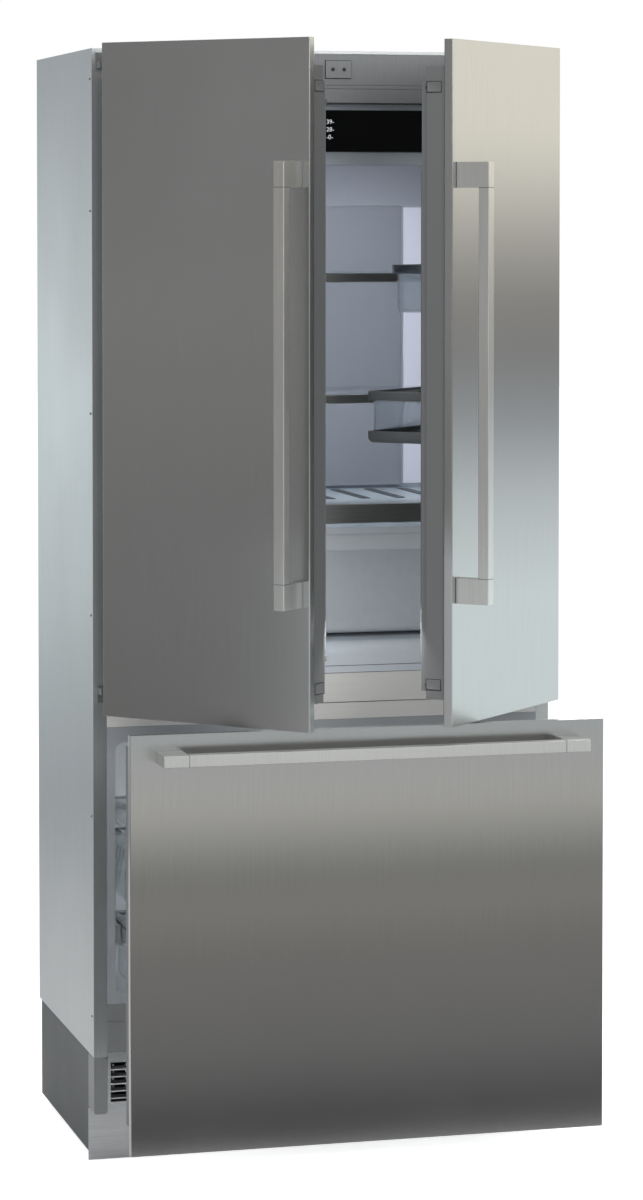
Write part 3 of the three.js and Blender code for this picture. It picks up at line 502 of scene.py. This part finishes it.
def door_bin(side, level):
    node = f"door_bin_{side}_{level}"
    low, high = shut_box(node, side)
    box_low = low + Vector((8 * MM, 0, 0))
    box_high = high - Vector((8 * MM, 7 * MM, 4 * MM))
    bin_tub = tub(f"bin_{side}_{level}", box_low, box_high, 2.6 * MM, 12 * MM)
    rim_low = Vector((low.x, low.y, high.z - 17 * MM))
    rim = band(f"bin_rim_{side}_{level}", rim_low, high, 5 * MM, 12 * MM)
    place_on_door(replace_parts(bin_tub, node), side, clear_plastic, "clear_plastic")
    place_on_door(rim, side, smoked_plastic if level == "upper" else grey_plastic, "grey_plastic")
    if level == "lower":
        tray_high = Vector((high.x, high.y, low.z + 22 * MM))
        tray = tub(f"bin_tray_{side}", low, tray_high, 3 * MM, 11 * MM)
        place_on_door(tray, side, grey_plastic, "grey_plastic")


for side in SIDES:
    for level in ("upper", "lower"):
        door_bin(side, level)


# ------------------------------------------------------------------ door edges and hinges

def door_edge_cap(side, base, name):
    """A small cap on the free edge of the door's body, with a dark wedge that meets the frame."""
    low, high = shut_box(f"door_body_{side}", side)
    inward = SIDES[side]
    edge = low.x if side == "right" else high.x
    front, back = low.y + 8 * MM, low.y + 36 * MM
    backing = block(f"edge_backing_{side}_{name}", (edge - 0.3 * MM, front - 2 * MM, base - 2 * MM),
                    (edge + 0.3 * MM, back + 2 * MM, base + 20 * MM))
    soften(backing, 0.2 * MM, 2)
    place_on_door(backing, side, dark_plastic, "dark_plastic")
    cap = block(f"edge_cap_{side}_{name}", (edge - 0.9 * MM, front, base),
                (edge + 0.9 * MM, back, base + 18 * MM))
    sink_face(cap, -inward * RIGHT, 2 * MM, 0.3 * MM)
    soften(cap, 0.3 * MM, 2)
    place_on_door(cap, side, door_shell, "grey_plastic")
    nose = rod(f"edge_wedge_{side}_{name}", (edge + inward * 6 * MM, back + 1 * MM, base + 9 * MM),
               6 * MM, 10 * MM, RIGHT, 3)
    soften(nose, 0.8 * MM, 2)
    place_on_door(nose, side, dark_plastic, "dark_plastic")


def door_hinge_leaf(side, at_top):
    """The door's half of a hinge: a plate on the end of the body, with its screws."""
    low, high = shut_box(f"door_body_{side}", side)
    outer = low.x if side == "left" else high.x
    inward = -SIDES[side]
    xs = sorted((outer + inward * 34 * MM, outer + inward * 110 * MM))
    end = high.z if at_top else low.z
    zs = sorted((end, end + (3 if at_top else -3) * MM))
    leaf = block(f"hinge_leaf_{side}_{'top' if at_top else 'foot'}",
                 (xs[0], low.y + 5 * MM, zs[0]), (xs[1], low.y + 33 * MM, zs[1]))
    facing = UP if at_top else DOWN
    sink_face(leaf, facing, 4 * MM, 0.8 * MM)
    soften(leaf, 0.6 * MM, 2)
    place_on_door(leaf, side, hinge_steel, "dark_metal")
    heads = screws(f"hinge_screws_{side}_{'top' if at_top else 'foot'}",
                   [Vector((x, low.y + 19 * MM, end + facing.z * 2.2 * MM))
                    for x in (xs[0] + 14 * MM, xs[1] - 14 * MM)], facing)
    place_on_door(heads, side, screw_steel, "dark_metal")


def handle_joint(name, low, high):
    """The fine seam where a handle's end block meets its bar."""
    seam = block(name, low, high)
    sink_face(seam, FRONT, 0.3 * MM, 0.1 * MM)
    return soften(seam, 0.1 * MM, 2)


def door_handle_joints(side):
    low, high = shut_box(f"door_handle_{side}", side)
    for name, height in (("top", high.z - HANDLE_BLOCK), ("foot", low.z + HANDLE_BLOCK)):
        seam = handle_joint(f"handle_joint_{side}_{name}",
                            (low.x - SEAM_PROUD, low.y - SEAM_PROUD, height - 0.5 * MM),
                            (high.x + SEAM_PROUD, low.y + HANDLE_DEPTH + SEAM_PROUD, height + 0.5 * MM))
        place_on_door(seam, side, dark_plastic, "dark_plastic")


def drawer_handle_joints():
    low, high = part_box("drawer_handle")
    for name, x in (("left", low.x + HANDLE_BLOCK), ("right", high.x - HANDLE_BLOCK)):
        seam = handle_joint(f"drawer_handle_joint_{name}",
                            (x - 0.5 * MM, low.y - SEAM_PROUD, low.z - SEAM_PROUD),
                            (x + 0.5 * MM, low.y + HANDLE_DEPTH + SEAM_PROUD, high.z + SEAM_PROUD))
        place(seam, "freezer_drawer", dark_plastic, "dark_plastic")


drawer_handle_joints()
for side in SIDES:
    door_handle_joints(side)
    body_low, body_high = shut_box(f"door_body_{side}", side)
    door_edge_cap(side, body_high.z - 47 * MM, "top")
    door_edge_cap(side, body_low.z + 18 * MM, "foot")
    door_hinge_leaf(side, True)
    door_hinge_leaf(side, False)


# ------------------------------------------------------------------ header

def display_digits():
    """Plain temperature figures, set one above another at the left of centre."""
    low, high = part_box("control_panel")
    rows = []
    for row, words in enumerate(("39-", "28-", "-0-")):
        bpy.ops.object.select_all(action="DESELECT")
        bpy.ops.object.text_add()
        label = bpy.context.object
        label.data.body = words
        label.data.size = 12 * MM
        label.data.extrude = 0.1 * MM
        label.location = (10 * MM, low.y - 0.25 * MM, high.z - (26 + 14.6 * row) * MM)
        label.rotation_euler = (math.pi / 2, 0, 0)
        select_only(label)
        bpy.ops.object.convert(target="MESH")
        rows.append(settle(bpy.context.object))
    place(merge("display_digits", *rows), "cabinet", digit_light, "control_glass")


def guide_screws():
    low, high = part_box("flap_guide")
    middle = (low + high) / 2
    centres = [Vector((middle.x + shift * MM, low.y, middle.z)) for shift in (-11, 11)]
    place(screws("guide_screws", centres, FRONT, 3.6 * MM), "cabinet", dark_enamel, "dark_metal")


def guide_outline():
    """A dark rim round the flap's guide plate: painted shade in the gap round it."""
    low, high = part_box("flap_guide")
    grow = Vector((1.2 * MM, 0, 1.2 * MM))
    piece = block("guide_gap_shade", Vector((low.x, high.y - 0.6 * MM, low.z)) - grow,
                  Vector((high.x, high.y + 0.2 * MM, high.z)) + grow)
    sink_face(piece, FRONT, 1.6 * MM, 0.2 * MM)
    soften(piece, 0.2 * MM, 2)
    place(piece, "cabinet", dark_plastic, "dark_plastic")


display_digits()
guide_screws()
guide_outline()


# ------------------------------------------------------------------ fridge fittings

def bottle_shelf_strips():
    """Grey grip strips across the bottle shelf, with rounded ends."""
    low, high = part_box("bottle_shelf")
    strip = block("bottle_shelf_strips", (-11 * MM, low.y + 120 * MM, high.z),
                  (11 * MM, high.y - 24 * MM, high.z + 1.2 * MM))
    select_only(strip)
    ends = strip.modifiers.new("Round ends", "BEVEL")
    ends.width = 10.5 * MM
    ends.segments = 6
    ends.limit_method = "WEIGHT"
    weights = strip.data.attributes.new("bevel_weight_edge", "FLOAT", "EDGE")
    for edge in strip.data.edges:
        first, second = (strip.data.vertices[i].co for i in edge.vertices)
        weights.data[edge.index].value = float(abs((first - second).z) > 0.5 * MM)
    apply_modifier(strip, ends)
    strips = copies(strip, [(x * 72 * MM, 0, 0) for x in range(-5, 6)])
    soften(strips, 0.4 * MM, 2, 60)
    place(strips, "cabinet", grey_plastic, "grey_plastic")


def light_columns():
    """Upright light diffusers on the rear wall, one beside each edge of the duct cover."""
    duct_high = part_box("air_duct_cover")[1]
    shelf_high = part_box("bottle_shelf")[1]
    for side, sign in SIDES.items():
        near, far = 302 * MM, 398 * MM
        xs = sorted((sign * near, sign * far))
        column = block(f"light_column_{side}",
                       (xs[0], duct_high.y - 4 * MM, shelf_high.z + 8 * MM),
                       (xs[1], duct_high.y - 0.4 * MM, duct_high.z - 160 * MM))
        sink_face(column, FRONT, 6 * MM, -1 * MM)
        soften(column, 1 * MM, 3)
        place(column, "cabinet", light_column, "liner")


def header_sill():
    """The pale strip under the control panel, and the one above it."""
    panel_low, panel_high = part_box("control_panel")
    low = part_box("header_cover")[0]
    for name, foot, head in (("header_sill", low.z, panel_low.z - 1 * MM),
                             ("header_lip", panel_high.z + 1 * MM, panel_high.z + 12 * MM)):
        strip = block(name, (panel_low.x, panel_high.y - 1.4 * MM, foot),
                      (panel_high.x, panel_high.y, head))
        sink_face(strip, FRONT, 1.5 * MM, 0.3 * MM)
        soften(strip, 0.4 * MM, 2)
        place(strip, "cabinet", liner_plastic, "liner")


def frame_seams():
    """Fine dark seams where the frame's pieces meet, above and below the fridge opening."""
    low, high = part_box("divider_cover")
    header_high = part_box("header_cover")[1]
    heights = (low.z + DIVIDER_GROOVE, high.z + 0.2 * MM, high.z + 14 * MM,
               header_high.z - HEADER_GROOVE)
    for number, height in enumerate(heights):
        seam = block(f"frame_seam_{number}", (low.x, low.y - 0.2 * MM, height - 0.6 * MM),
                     (high.x, low.y + 0.4 * MM, height + 0.6 * MM))
        sink_face(seam, FRONT, 0.3 * MM, 0.1 * MM)
        soften(seam, 0.1 * MM, 2)
        place(seam, "cabinet", grey_plastic, "dark_plastic")


def header_cheeks():
    """The closed ends of the header's set-back lower face."""
    low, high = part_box("header_cover")
    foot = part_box("control_panel")[1].z + 14 * MM
    for side, sign in SIDES.items():
        end = high.x if sign > 0 else low.x
        xs = sorted((end, end - sign * 1.5 * MM))
        cheek = block(f"header_cheek_{side}", (xs[0], low.y + HEADER_RECESS[0], low.z + 1 * MM),
                      (xs[1], low.y + HEADER_RECESS[1], foot - 1 * MM))
        sink_face(cheek, -sign * RIGHT, 2 * MM, 0.3 * MM)
        soften(cheek, 0.3 * MM, 2)
        place(cheek, "cabinet", frame_paint, "liner")


def crisper_rails():
    """Guides on the side walls under the crisper's rim."""
    low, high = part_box("crisper_bin")
    for side, sign in SIDES.items():
        xs = sorted((sign * (high.x + 4 * MM), sign * (high.x + 26 * MM)))
        rail = block(f"crisper_rail_{side}", (xs[0], low.y + 12 * MM, high.z - 58 * MM),
                     (xs[1], high.y, high.z - 50 * MM))
        sink_face(rail, UP, 3 * MM, 2 * MM)
        soften(rail, 1 * MM, 3)
        place(rail, "cabinet", white_plastic, "liner")


def crisper_tub():
    low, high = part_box("crisper_bin")
    piece = tub("crisper_tub", low, high, 3 * MM, 14 * MM)
    place(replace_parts(piece, "crisper_bin"), "crisper", frosted_plastic, "clear_plastic")
    lip = band("crisper_lip", (low.x, low.y, high.z - 7 * MM), high, 4 * MM, 14 * MM)
    place(lip, "crisper", grey_plastic, "grey_plastic")


bottle_shelf_strips()
light_columns()
header_sill()
frame_seams()
header_cheeks()
crisper_rails()
crisper_tub()


# ------------------------------------------------------------------ freezer fittings

def ribbed_tray():
    """The freezer tray: a clear tub with a carrying rim and slanted ribs on its sides."""
    low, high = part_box("freezer_tray")
    inner = 20 * MM
    body = tub("freezer_tray_tub", (low.x + inner, low.y, low.z), (high.x - inner, high.y, high.z),
               3 * MM, 14 * MM)
    place(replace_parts(body, "freezer_tray"), "freezer_tray", clear_plastic, "clear_plastic")
    rim = band("freezer_tray_rim", (low.x + inner - 3 * MM, low.y, high.z - 6 * MM),
               (high.x - inner + 3 * MM, high.y, high.z), 4 * MM, 14 * MM)
    place(rim, "freezer_tray", grey_plastic, "grey_plastic")
    for side, sign in SIDES.items():
        edge = high.x if sign > 0 else low.x
        xs = sorted((edge, edge - sign * 17 * MM))
        runner = block(f"freezer_tray_runner_{side}", (xs[0], low.y + 4 * MM, high.z - 5 * MM),
                       (xs[1], high.y - 4 * MM, high.z - 1 * MM))
        sink_face(runner, UP, 3 * MM, 1 * MM)
        soften(runner, 0.8 * MM, 2)
        place(runner, "freezer_tray", grey_plastic, "grey_plastic")
        wall = edge - sign * (inner + 1 * MM)
        rib = block(f"freezer_tray_ribs_{side}", (wall - 2 * MM, -3 * MM, -46 * MM),
                    (wall + 2 * MM, 3 * MM, 46 * MM))
        select_faces(rib, RIGHT * sign)
        bpy.ops.mesh.inset(thickness=1 * MM, depth=0)
        bpy.ops.object.mode_set(mode="OBJECT")
        soften(rib, 1 * MM, 2)
        rib.rotation_euler = (math.radians(38), 0, 0)
        settle(rib)
        middle = (low.z + high.z) / 2 - 8 * MM
        along = [low.y + (50 + 27 * step) * MM for step in range(11)]
        ribs = copies(rib, [(0, y, middle) for y in along])
        place(ribs, "freezer_tray", clear_plastic, "clear_plastic")


def lower_drawer_tub():
    low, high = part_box("drawer_bin")
    inner = 17 * MM
    body = tub("drawer_tub", (low.x + inner, low.y, low.z), (high.x - inner, high.y, high.z),
               3 * MM, 16 * MM)
    place(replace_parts(body, "drawer_bin"), "freezer_drawer", clear_plastic, "clear_plastic")
    rim = band("drawer_tub_rim", (low.x, low.y, high.z - 5 * MM), high, 18 * MM, 14 * MM)
    place(rim, "freezer_drawer", grey_plastic, "grey_plastic")


ribbed_tray()
lower_drawer_tub()


# ------------------------------------------------------------------ casing, back and base

def casing_screws():
    """Rivets down the front edge of each side panel, and screws round the back panel."""
    for side, sign in SIDES.items():
        low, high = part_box(f"side_panel_{side}")
        face = high.x if sign > 0 else low.x
        heights = [low.z + share * (high.z - low.z) for share in (0.04, 0.24, 0.44, 0.64, 0.84, 0.97)]
        centres = [Vector((face, low.y + 16 * MM, z)) for z in heights]
        rivets = screws(f"side_rivets_{side}", centres, RIGHT * sign, 2.2 * MM)
        place(rivets, "cabinet", screw_steel, "casing")
    low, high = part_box("back_panel")
    inset = 14 * MM
    rows = [low.z + inset + step * (high.z - low.z - 2 * inset) / 8 for step in range(9)]
    centres = [Vector((x, high.y, z)) for z in rows for x in (low.x + inset, high.x - inset)]
    place(screws("back_screws", centres, BACK, 4 * MM), "cabinet", screw_steel, "casing")


def back_ribs():
    """Pressed stiffening panels across the back."""
    low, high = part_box("back_panel")
    height = (high.z - low.z - 160 * MM) / 4
    panel = block("back_pressings", (low.x + 70 * MM, high.y - 0.5 * MM, 0),
                  (high.x - 70 * MM, high.y + 2.4 * MM, height - 40 * MM))
    sink_face(panel, BACK, 16 * MM, 2 * MM)
    soften(panel, 1.6 * MM, 3)
    pressings = copies(panel, [(0, 0, low.z + 90 * MM + step * height) for step in range(4)])
    place(pressings, "cabinet", casing_sheet, "casing")


def machine_pipes():
    """Copper pipes between the compressor and the condenser, and the compressor's relay box."""
    low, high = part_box("compressor")
    cond_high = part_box("condenser")[1]
    centre = (low + high) / 2
    routes = {
        "suction_pipe": [(centre.x - 60 * MM, centre.y, high.z - 24 * MM),
                         (centre.x - 120 * MM, centre.y, high.z - 8 * MM),
                         (centre.x - 170 * MM, centre.y + 60 * MM, high.z - 6 * MM),
                         (centre.x - 200 * MM, centre.y + 98 * MM, high.z + 4 * MM)],
        "discharge_pipe": [(centre.x - 70 * MM, centre.y - 30 * MM, low.z + 70 * MM),
                           (centre.x - 130 * MM, centre.y - 50 * MM, low.z + 60 * MM),
                           (cond_high.x + 60 * MM, cond_high.y - 40 * MM, low.z + 90 * MM),
                           (cond_high.x + 4 * MM, cond_high.y - 40 * MM, low.z + 90 * MM)],
    }
    for name, route in routes.items():
        bpy.ops.object.select_all(action="DESELECT")
        bpy.ops.curve.primitive_nurbs_path_add()
        pipe = bpy.context.object
        pipe.name = name
        spline = pipe.data.splines[0]
        spare = len(spline.points) - len(route)
        points = route + [route[-1]] * spare
        for point, at in zip(spline.points, points):
            point.co = (*at, 1)
        spline.use_endpoint_u = True
        spline.order_u = 3
        pipe.location = (0, 0, 0)
        pipe.data.bevel_depth = 3.5 * MM
        pipe.data.bevel_resolution = 4
        pipe.data.use_fill_caps = True
        select_only(pipe)
        bpy.ops.object.convert(target="MESH")
        pipe = settle(bpy.context.object)
        bpy.ops.object.shade_smooth()
        place(pipe, "cabinet", copper_pipe, "dark_metal")
    relay = block("relay_box", (high.x - 20 * MM, centre.y - 24 * MM, low.z + 60 * MM),
                  (high.x + 12 * MM, centre.y + 24 * MM, low.z + 120 * MM))
    sink_face(relay, RIGHT, 4 * MM, 1.5 * MM)
    soften(relay, 2 * MM, 3)
    place(relay, "cabinet", dark_plastic, "dark_plastic")


def rear_cover():
    """A slotted cover over the window in the back of the base."""
    low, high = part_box("base_frame")
    inlet_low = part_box("power_inlet")[0]
    half = (high.x - low.x) / 4 + 6 * MM
    bottom, top = inlet_low.z - 6 * MM, high.z - 42 * MM
    cover = block("rear_cover", (-half, high.y, bottom), (half, high.y + 1.6 * MM, top))
    sink_face(cover, BACK, 8 * MM, -1.4 * MM)
    soften(cover, 0.6 * MM, 2)
    place(cover, "cabinet", base_coat, "dark_metal")
    louvre = block("rear_louvres", (-24 * MM, high.y + 2.6 * MM, bottom + 12 * MM),
                   (24 * MM, high.y + 5.4 * MM, bottom + 17 * MM))
    sink_face(louvre, BACK, 1 * MM, 0.8 * MM)
    soften(louvre, 0.8 * MM, 2)
    count = int((top - bottom - 24 * MM) / (10 * MM))
    shifts = [(x * 62 * MM, 0, row * 10 * MM) for x in range(-3, 4) for row in range(max(count, 1))]
    place(copies(louvre, shifts), "cabinet", dark_plastic, "dark_plastic")


def inlet_pins():
    """A sunk socket face with three pins on the power inlet."""
    low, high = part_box("power_inlet")
    middle = (low + high) / 2
    collar = block("inlet_collar", (low.x - 3 * MM, high.y - 4 * MM, low.z - 3 * MM),
                   (high.x + 3 * MM, high.y + 0.8 * MM, high.z + 3 * MM))
    sink_face(collar, BACK, 6 * MM, 3 * MM)
    soften(collar, 1 * MM, 3)
    place(collar, "cabinet", dark_plastic, "dark_plastic")
    pin = block("inlet_pins", (-1 * MM, high.y - 4 * MM, -2.5 * MM), (1 * MM, high.y - 0.5 * MM, 2.5 * MM))
    soften(pin, 0.4 * MM, 2)
    pins = copies(pin, [(middle.x + x * MM, 0, middle.z + z * MM) for x, z in ((-8, -3), (8, -3), (0, 4))])
    place(pins, "cabinet", screw_steel, "dark_metal")


def top_fixings():
    """Two fixing brackets along the front of the top panel, and a cover for the wiring."""
    low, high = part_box("top_panel")
    for side, sign in SIDES.items():
        xs = sorted((sign * 250 * MM, sign * 330 * MM))
        bracket = block(f"top_bracket_{side}", (xs[0], low.y + 20 * MM, high.z),
                        (xs[1], low.y + 60 * MM, high.z + 2 * MM))
        sink_face(bracket, UP, 5 * MM, 0.8 * MM)
        soften(bracket, 0.5 * MM, 2)
        place(bracket, "cabinet", screw_steel, "casing")
        centres = [Vector((x, low.y + 40 * MM, high.z + 1.2 * MM))
                   for x in (xs[0] + 16 * MM, xs[1] - 16 * MM)]
        place(screws(f"top_screws_{side}", centres, UP, 3.5 * MM), "cabinet", dark_enamel, "dark_metal")
    cover = block("wiring_cover", (-90 * MM, high.y - 160 * MM, high.z),
                  (90 * MM, high.y - 60 * MM, high.z + 5 * MM))
    sink_face(cover, UP, 10 * MM, 1 * MM)
    soften(cover, 2 * MM, 3)
    place(cover, "cabinet", dark_plastic, "dark_plastic")


casing_screws()
back_ribs()
machine_pipes()
rear_cover()
inlet_pins()
top_fixings()


# ------------------------------------------------------------------ studio

def plain_surface(name, colour, roughness=0.9):
    material = bpy.data.materials.new(name)
    material.use_nodes = True
    shader = material.node_tree.nodes["Principled BSDF"]
    shader.inputs["Base Color"].default_value = rgb(*colour)
    shader.inputs["Roughness"].default_value = roughness
    return material


def floor():
    bpy.ops.object.select_all(action="DESELECT")
    bpy.ops.mesh.primitive_plane_add(size=60, location=(0, 0, 0))
    ground = bpy.context.object
    ground.name = "studio_floor"
    pale = plain_surface("Studio floor", (236, 236, 236))
    shader = pale.node_tree.nodes["Principled BSDF"]
    shader.inputs["Emission Color"].default_value = (1, 1, 1, 1)
    path = pale.node_tree.nodes.new("ShaderNodeLightPath")
    glow = pale.node_tree.nodes.new("ShaderNodeMapRange")
    glow.inputs["To Min"].default_value = 0.12
    glow.inputs["To Max"].default_value = 0.8
    pale.node_tree.links.new(path.outputs["Is Camera Ray"], glow.inputs["Value"])
    pale.node_tree.links.new(glow.outputs["Result"], shader.inputs["Emission Strength"])
    ground.data.materials.append(pale)


def card(name, place_at, facing, width, foot, head, tones):
    """A reflector for the polished fronts, toned by height; the camera and soft light pass through it."""
    bpy.ops.object.select_all(action="DESELECT")
    bpy.ops.mesh.primitive_plane_add(size=1, location=(*place_at, (foot + head) / 2))
    sheet = bpy.context.object
    sheet.name = name
    sheet.scale = (width, head - foot, 1)
    sheet.rotation_mode = "QUATERNION"
    sheet.rotation_quaternion = Vector(facing).to_track_quat("Z", "Y")
    sheet.visible_camera = False
    sheet.visible_shadow = False
    sheet.visible_diffuse = False
    sheet.visible_transmission = False
    material = bpy.data.materials.new(name)
    material.use_nodes = True
    tree = material.node_tree
    tree.nodes.clear()
    place_of = tree.nodes.new("ShaderNodeTexCoord")
    parts = tree.nodes.new("ShaderNodeSeparateXYZ")
    ramp = tree.nodes.new("ShaderNodeValToRGB")
    glow = tree.nodes.new("ShaderNodeEmission")
    glow.inputs["Strength"].default_value = 1.9
    out = tree.nodes.new("ShaderNodeOutputMaterial")
    stops = ramp.color_ramp.elements
    while len(stops) < len(tones):
        stops.new(0.5)
    for stop, (height, colour) in zip(stops, tones):
        stop.position = (height - foot) / (head - foot)
        stop.color = rgb(*colour)
    tree.links.new(place_of.outputs["Generated"], parts.inputs["Vector"])
    tree.links.new(parts.outputs["Y"], ramp.inputs["Fac"])
    tree.links.new(ramp.outputs["Color"], glow.inputs["Color"])
    tree.links.new(glow.outputs["Emission"], out.inputs["Surface"])
    sheet.data.materials.append(material)


def softbox(name, place_at, target, width, height, watts, colour=(1, 1, 1)):
    data = bpy.data.lights.new(name, "AREA")
    data.shape = "RECTANGLE"
    data.size, data.size_y = width, height
    data.energy = watts
    data.color = colour
    lamp_object = bpy.data.objects.new(name, data)
    bpy.context.scene.collection.objects.link(lamp_object)
    lamp_object.location = place_at
    lamp_object.rotation_euler = (Vector(target) - Vector(place_at)).to_track_quat("-Z", "Y").to_euler()
    return lamp_object


def hidden_lamp(*where, **more):
    """A softbox that lights the object but isn't seen itself, straight or mirrored."""
    lamp_object = softbox(*where, **more)
    lamp_object.visible_camera = False
    lamp_object.visible_glossy = False


def world():
    """White to the camera, and an even pale grey room to everything else."""
    space = bpy.data.worlds.new("Studio")
    bpy.context.scene.world = space
    space.use_nodes = True
    tree = space.node_tree
    tree.nodes.clear()
    path = tree.nodes.new("ShaderNodeLightPath")
    room, shown = tree.nodes.new("ShaderNodeBackground"), tree.nodes.new("ShaderNodeBackground")
    room.inputs["Color"].default_value = (0.62, 0.64, 0.66, 1)
    room.inputs["Strength"].default_value = 0.55
    shown.inputs["Color"].default_value = (1, 1, 1, 1)
    choice = tree.nodes.new("ShaderNodeMixShader")
    out = tree.nodes.new("ShaderNodeOutputWorld")
    tree.links.new(path.outputs["Is Camera Ray"], choice.inputs["Fac"])
    tree.links.new(room.outputs["Background"], choice.inputs[1])
    tree.links.new(shown.outputs["Background"], choice.inputs[2])
    tree.links.new(choice.outputs["Shader"], out.inputs["Surface"])


def studio():
    floor()
    world()
    card("card_left", (-1.5, -0.6), (1, 0.1, 0), 3.4, 0, 2.6,
         [(0.0, (92, 92, 92)), (0.8, (97, 97, 97)), (1.2, (104, 104, 104)), (1.6, (111, 111, 111)),
          (2.2, (99, 99, 99))])
    card("card_right", (1.45, -0.1), (-1, -0.12, 0), 3.0, 0, 2.7,
         [(0.0, (190, 200, 200)), (0.98, (195, 204, 205)), (1.19, (174, 181, 183)), (1.36, (137, 141, 144)),
          (1.5, (120, 121, 121)), (1.62, (127, 125, 122)), (1.75, (156, 154, 148)),
          (1.9, (194, 191, 182)), (2.0, (210, 207, 195)), (2.7, (214, 211, 199))])
    card("card_front", (0.05, -0.75), (0, 1, 0), 2.4, 0, 1.15,
         [(0.0, (62, 62, 62)), (0.07, (66, 66, 66)), (0.13, (84, 84, 84)), (0.2, (96, 96, 96)),
          (0.4, (108, 106, 104)), (0.47, (118, 116, 112)), (0.54, (111, 111, 109)), (0.6, (134, 134, 131)),
          (0.66, (156, 155, 151)), (0.72, (157, 157, 156)), (0.86, (150, 155, 157)), (1.15, (160, 164, 165))])
    card("card_side", (-1.6, 3.2), (0.3, -1, 0), 3.2, 0, 2.9,
         [(0.0, (112, 115, 118)), (0.5, (150, 156, 158)), (1.2, (198, 206, 208)), (1.6, (184, 190, 192)),
          (2.2, (140, 144, 147))])
    softbox("light_left", (-3.4, -3.6, 3.2), (0, 0, 1.1), 2.4, 2.4, 72)
    softbox("light_front", (1.5, -5.5, 3.4), (0, 0, 1.2), 2.6, 2.0, 70)
    softbox("light_top", (0, 0.4, 4.6), (0, 0, 1.0), 3.0, 3.0, 60)
    softbox("light_back", (2.6, 3.8, 2.8), (0, 0, 1.1), 2.4, 2.4, 50)
    lamp_low, lamp_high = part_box("shelf_upper")
    fridge_lamp(lamp_low.y + 0.05, lamp_high.z + 0.12, 0.85)
    for node, watts in (("shelf_upper", 0.62), ("shelf_lower", 0.62), ("bottle_shelf", 0.8)):
        shelf_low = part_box(node)[0]
        fridge_lamp(shelf_low.y + 0.03, shelf_low.z - 0.03, watts)
    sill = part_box("divider_cover")[1]
    hidden_lamp("sill_lamp", (0, sill.y - 0.34, sill.z + 0.14), (0, sill.y, sill.z - 0.06), 0.14, 0.05, 0.75)
    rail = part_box("freezer_rail_left")[0]
    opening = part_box("freezer_liner")[1]
    hidden_lamp("freezer_lamp", (0, rail.y + 0.03, opening.z - 0.06), (0, rail.y + 0.2, rail.z),
                0.7, 0.08, 4.0)


def fridge_lamp(front, height, watts):
    """A soft strip inside the fridge that shines back and down."""
    hidden_lamp(f"fridge_lamp_{height:.2f}", (0, front, height), (0, front + 0.4, height - 0.22),
                0.7, 0.04, watts, colour=(0.9, 0.95, 1.0))


def camera():
    data = bpy.data.cameras.new("Camera")
    data.lens = 109.82
    data.sensor_width = 36
    data.shift_y = -0.2
    data.clip_end = 100
    viewer = bpy.data.objects.new("Camera", data)
    bpy.context.scene.collection.objects.link(viewer)
    viewer.location = (-1.8253, -6.8482, 1.8125)
    viewer.rotation_euler = (math.radians(90 - 2.257), 0, math.radians(-15.012))
    bpy.context.scene.camera = viewer


studio()
camera()
bpy.context.scene.view_settings.view_transform = "Standard"
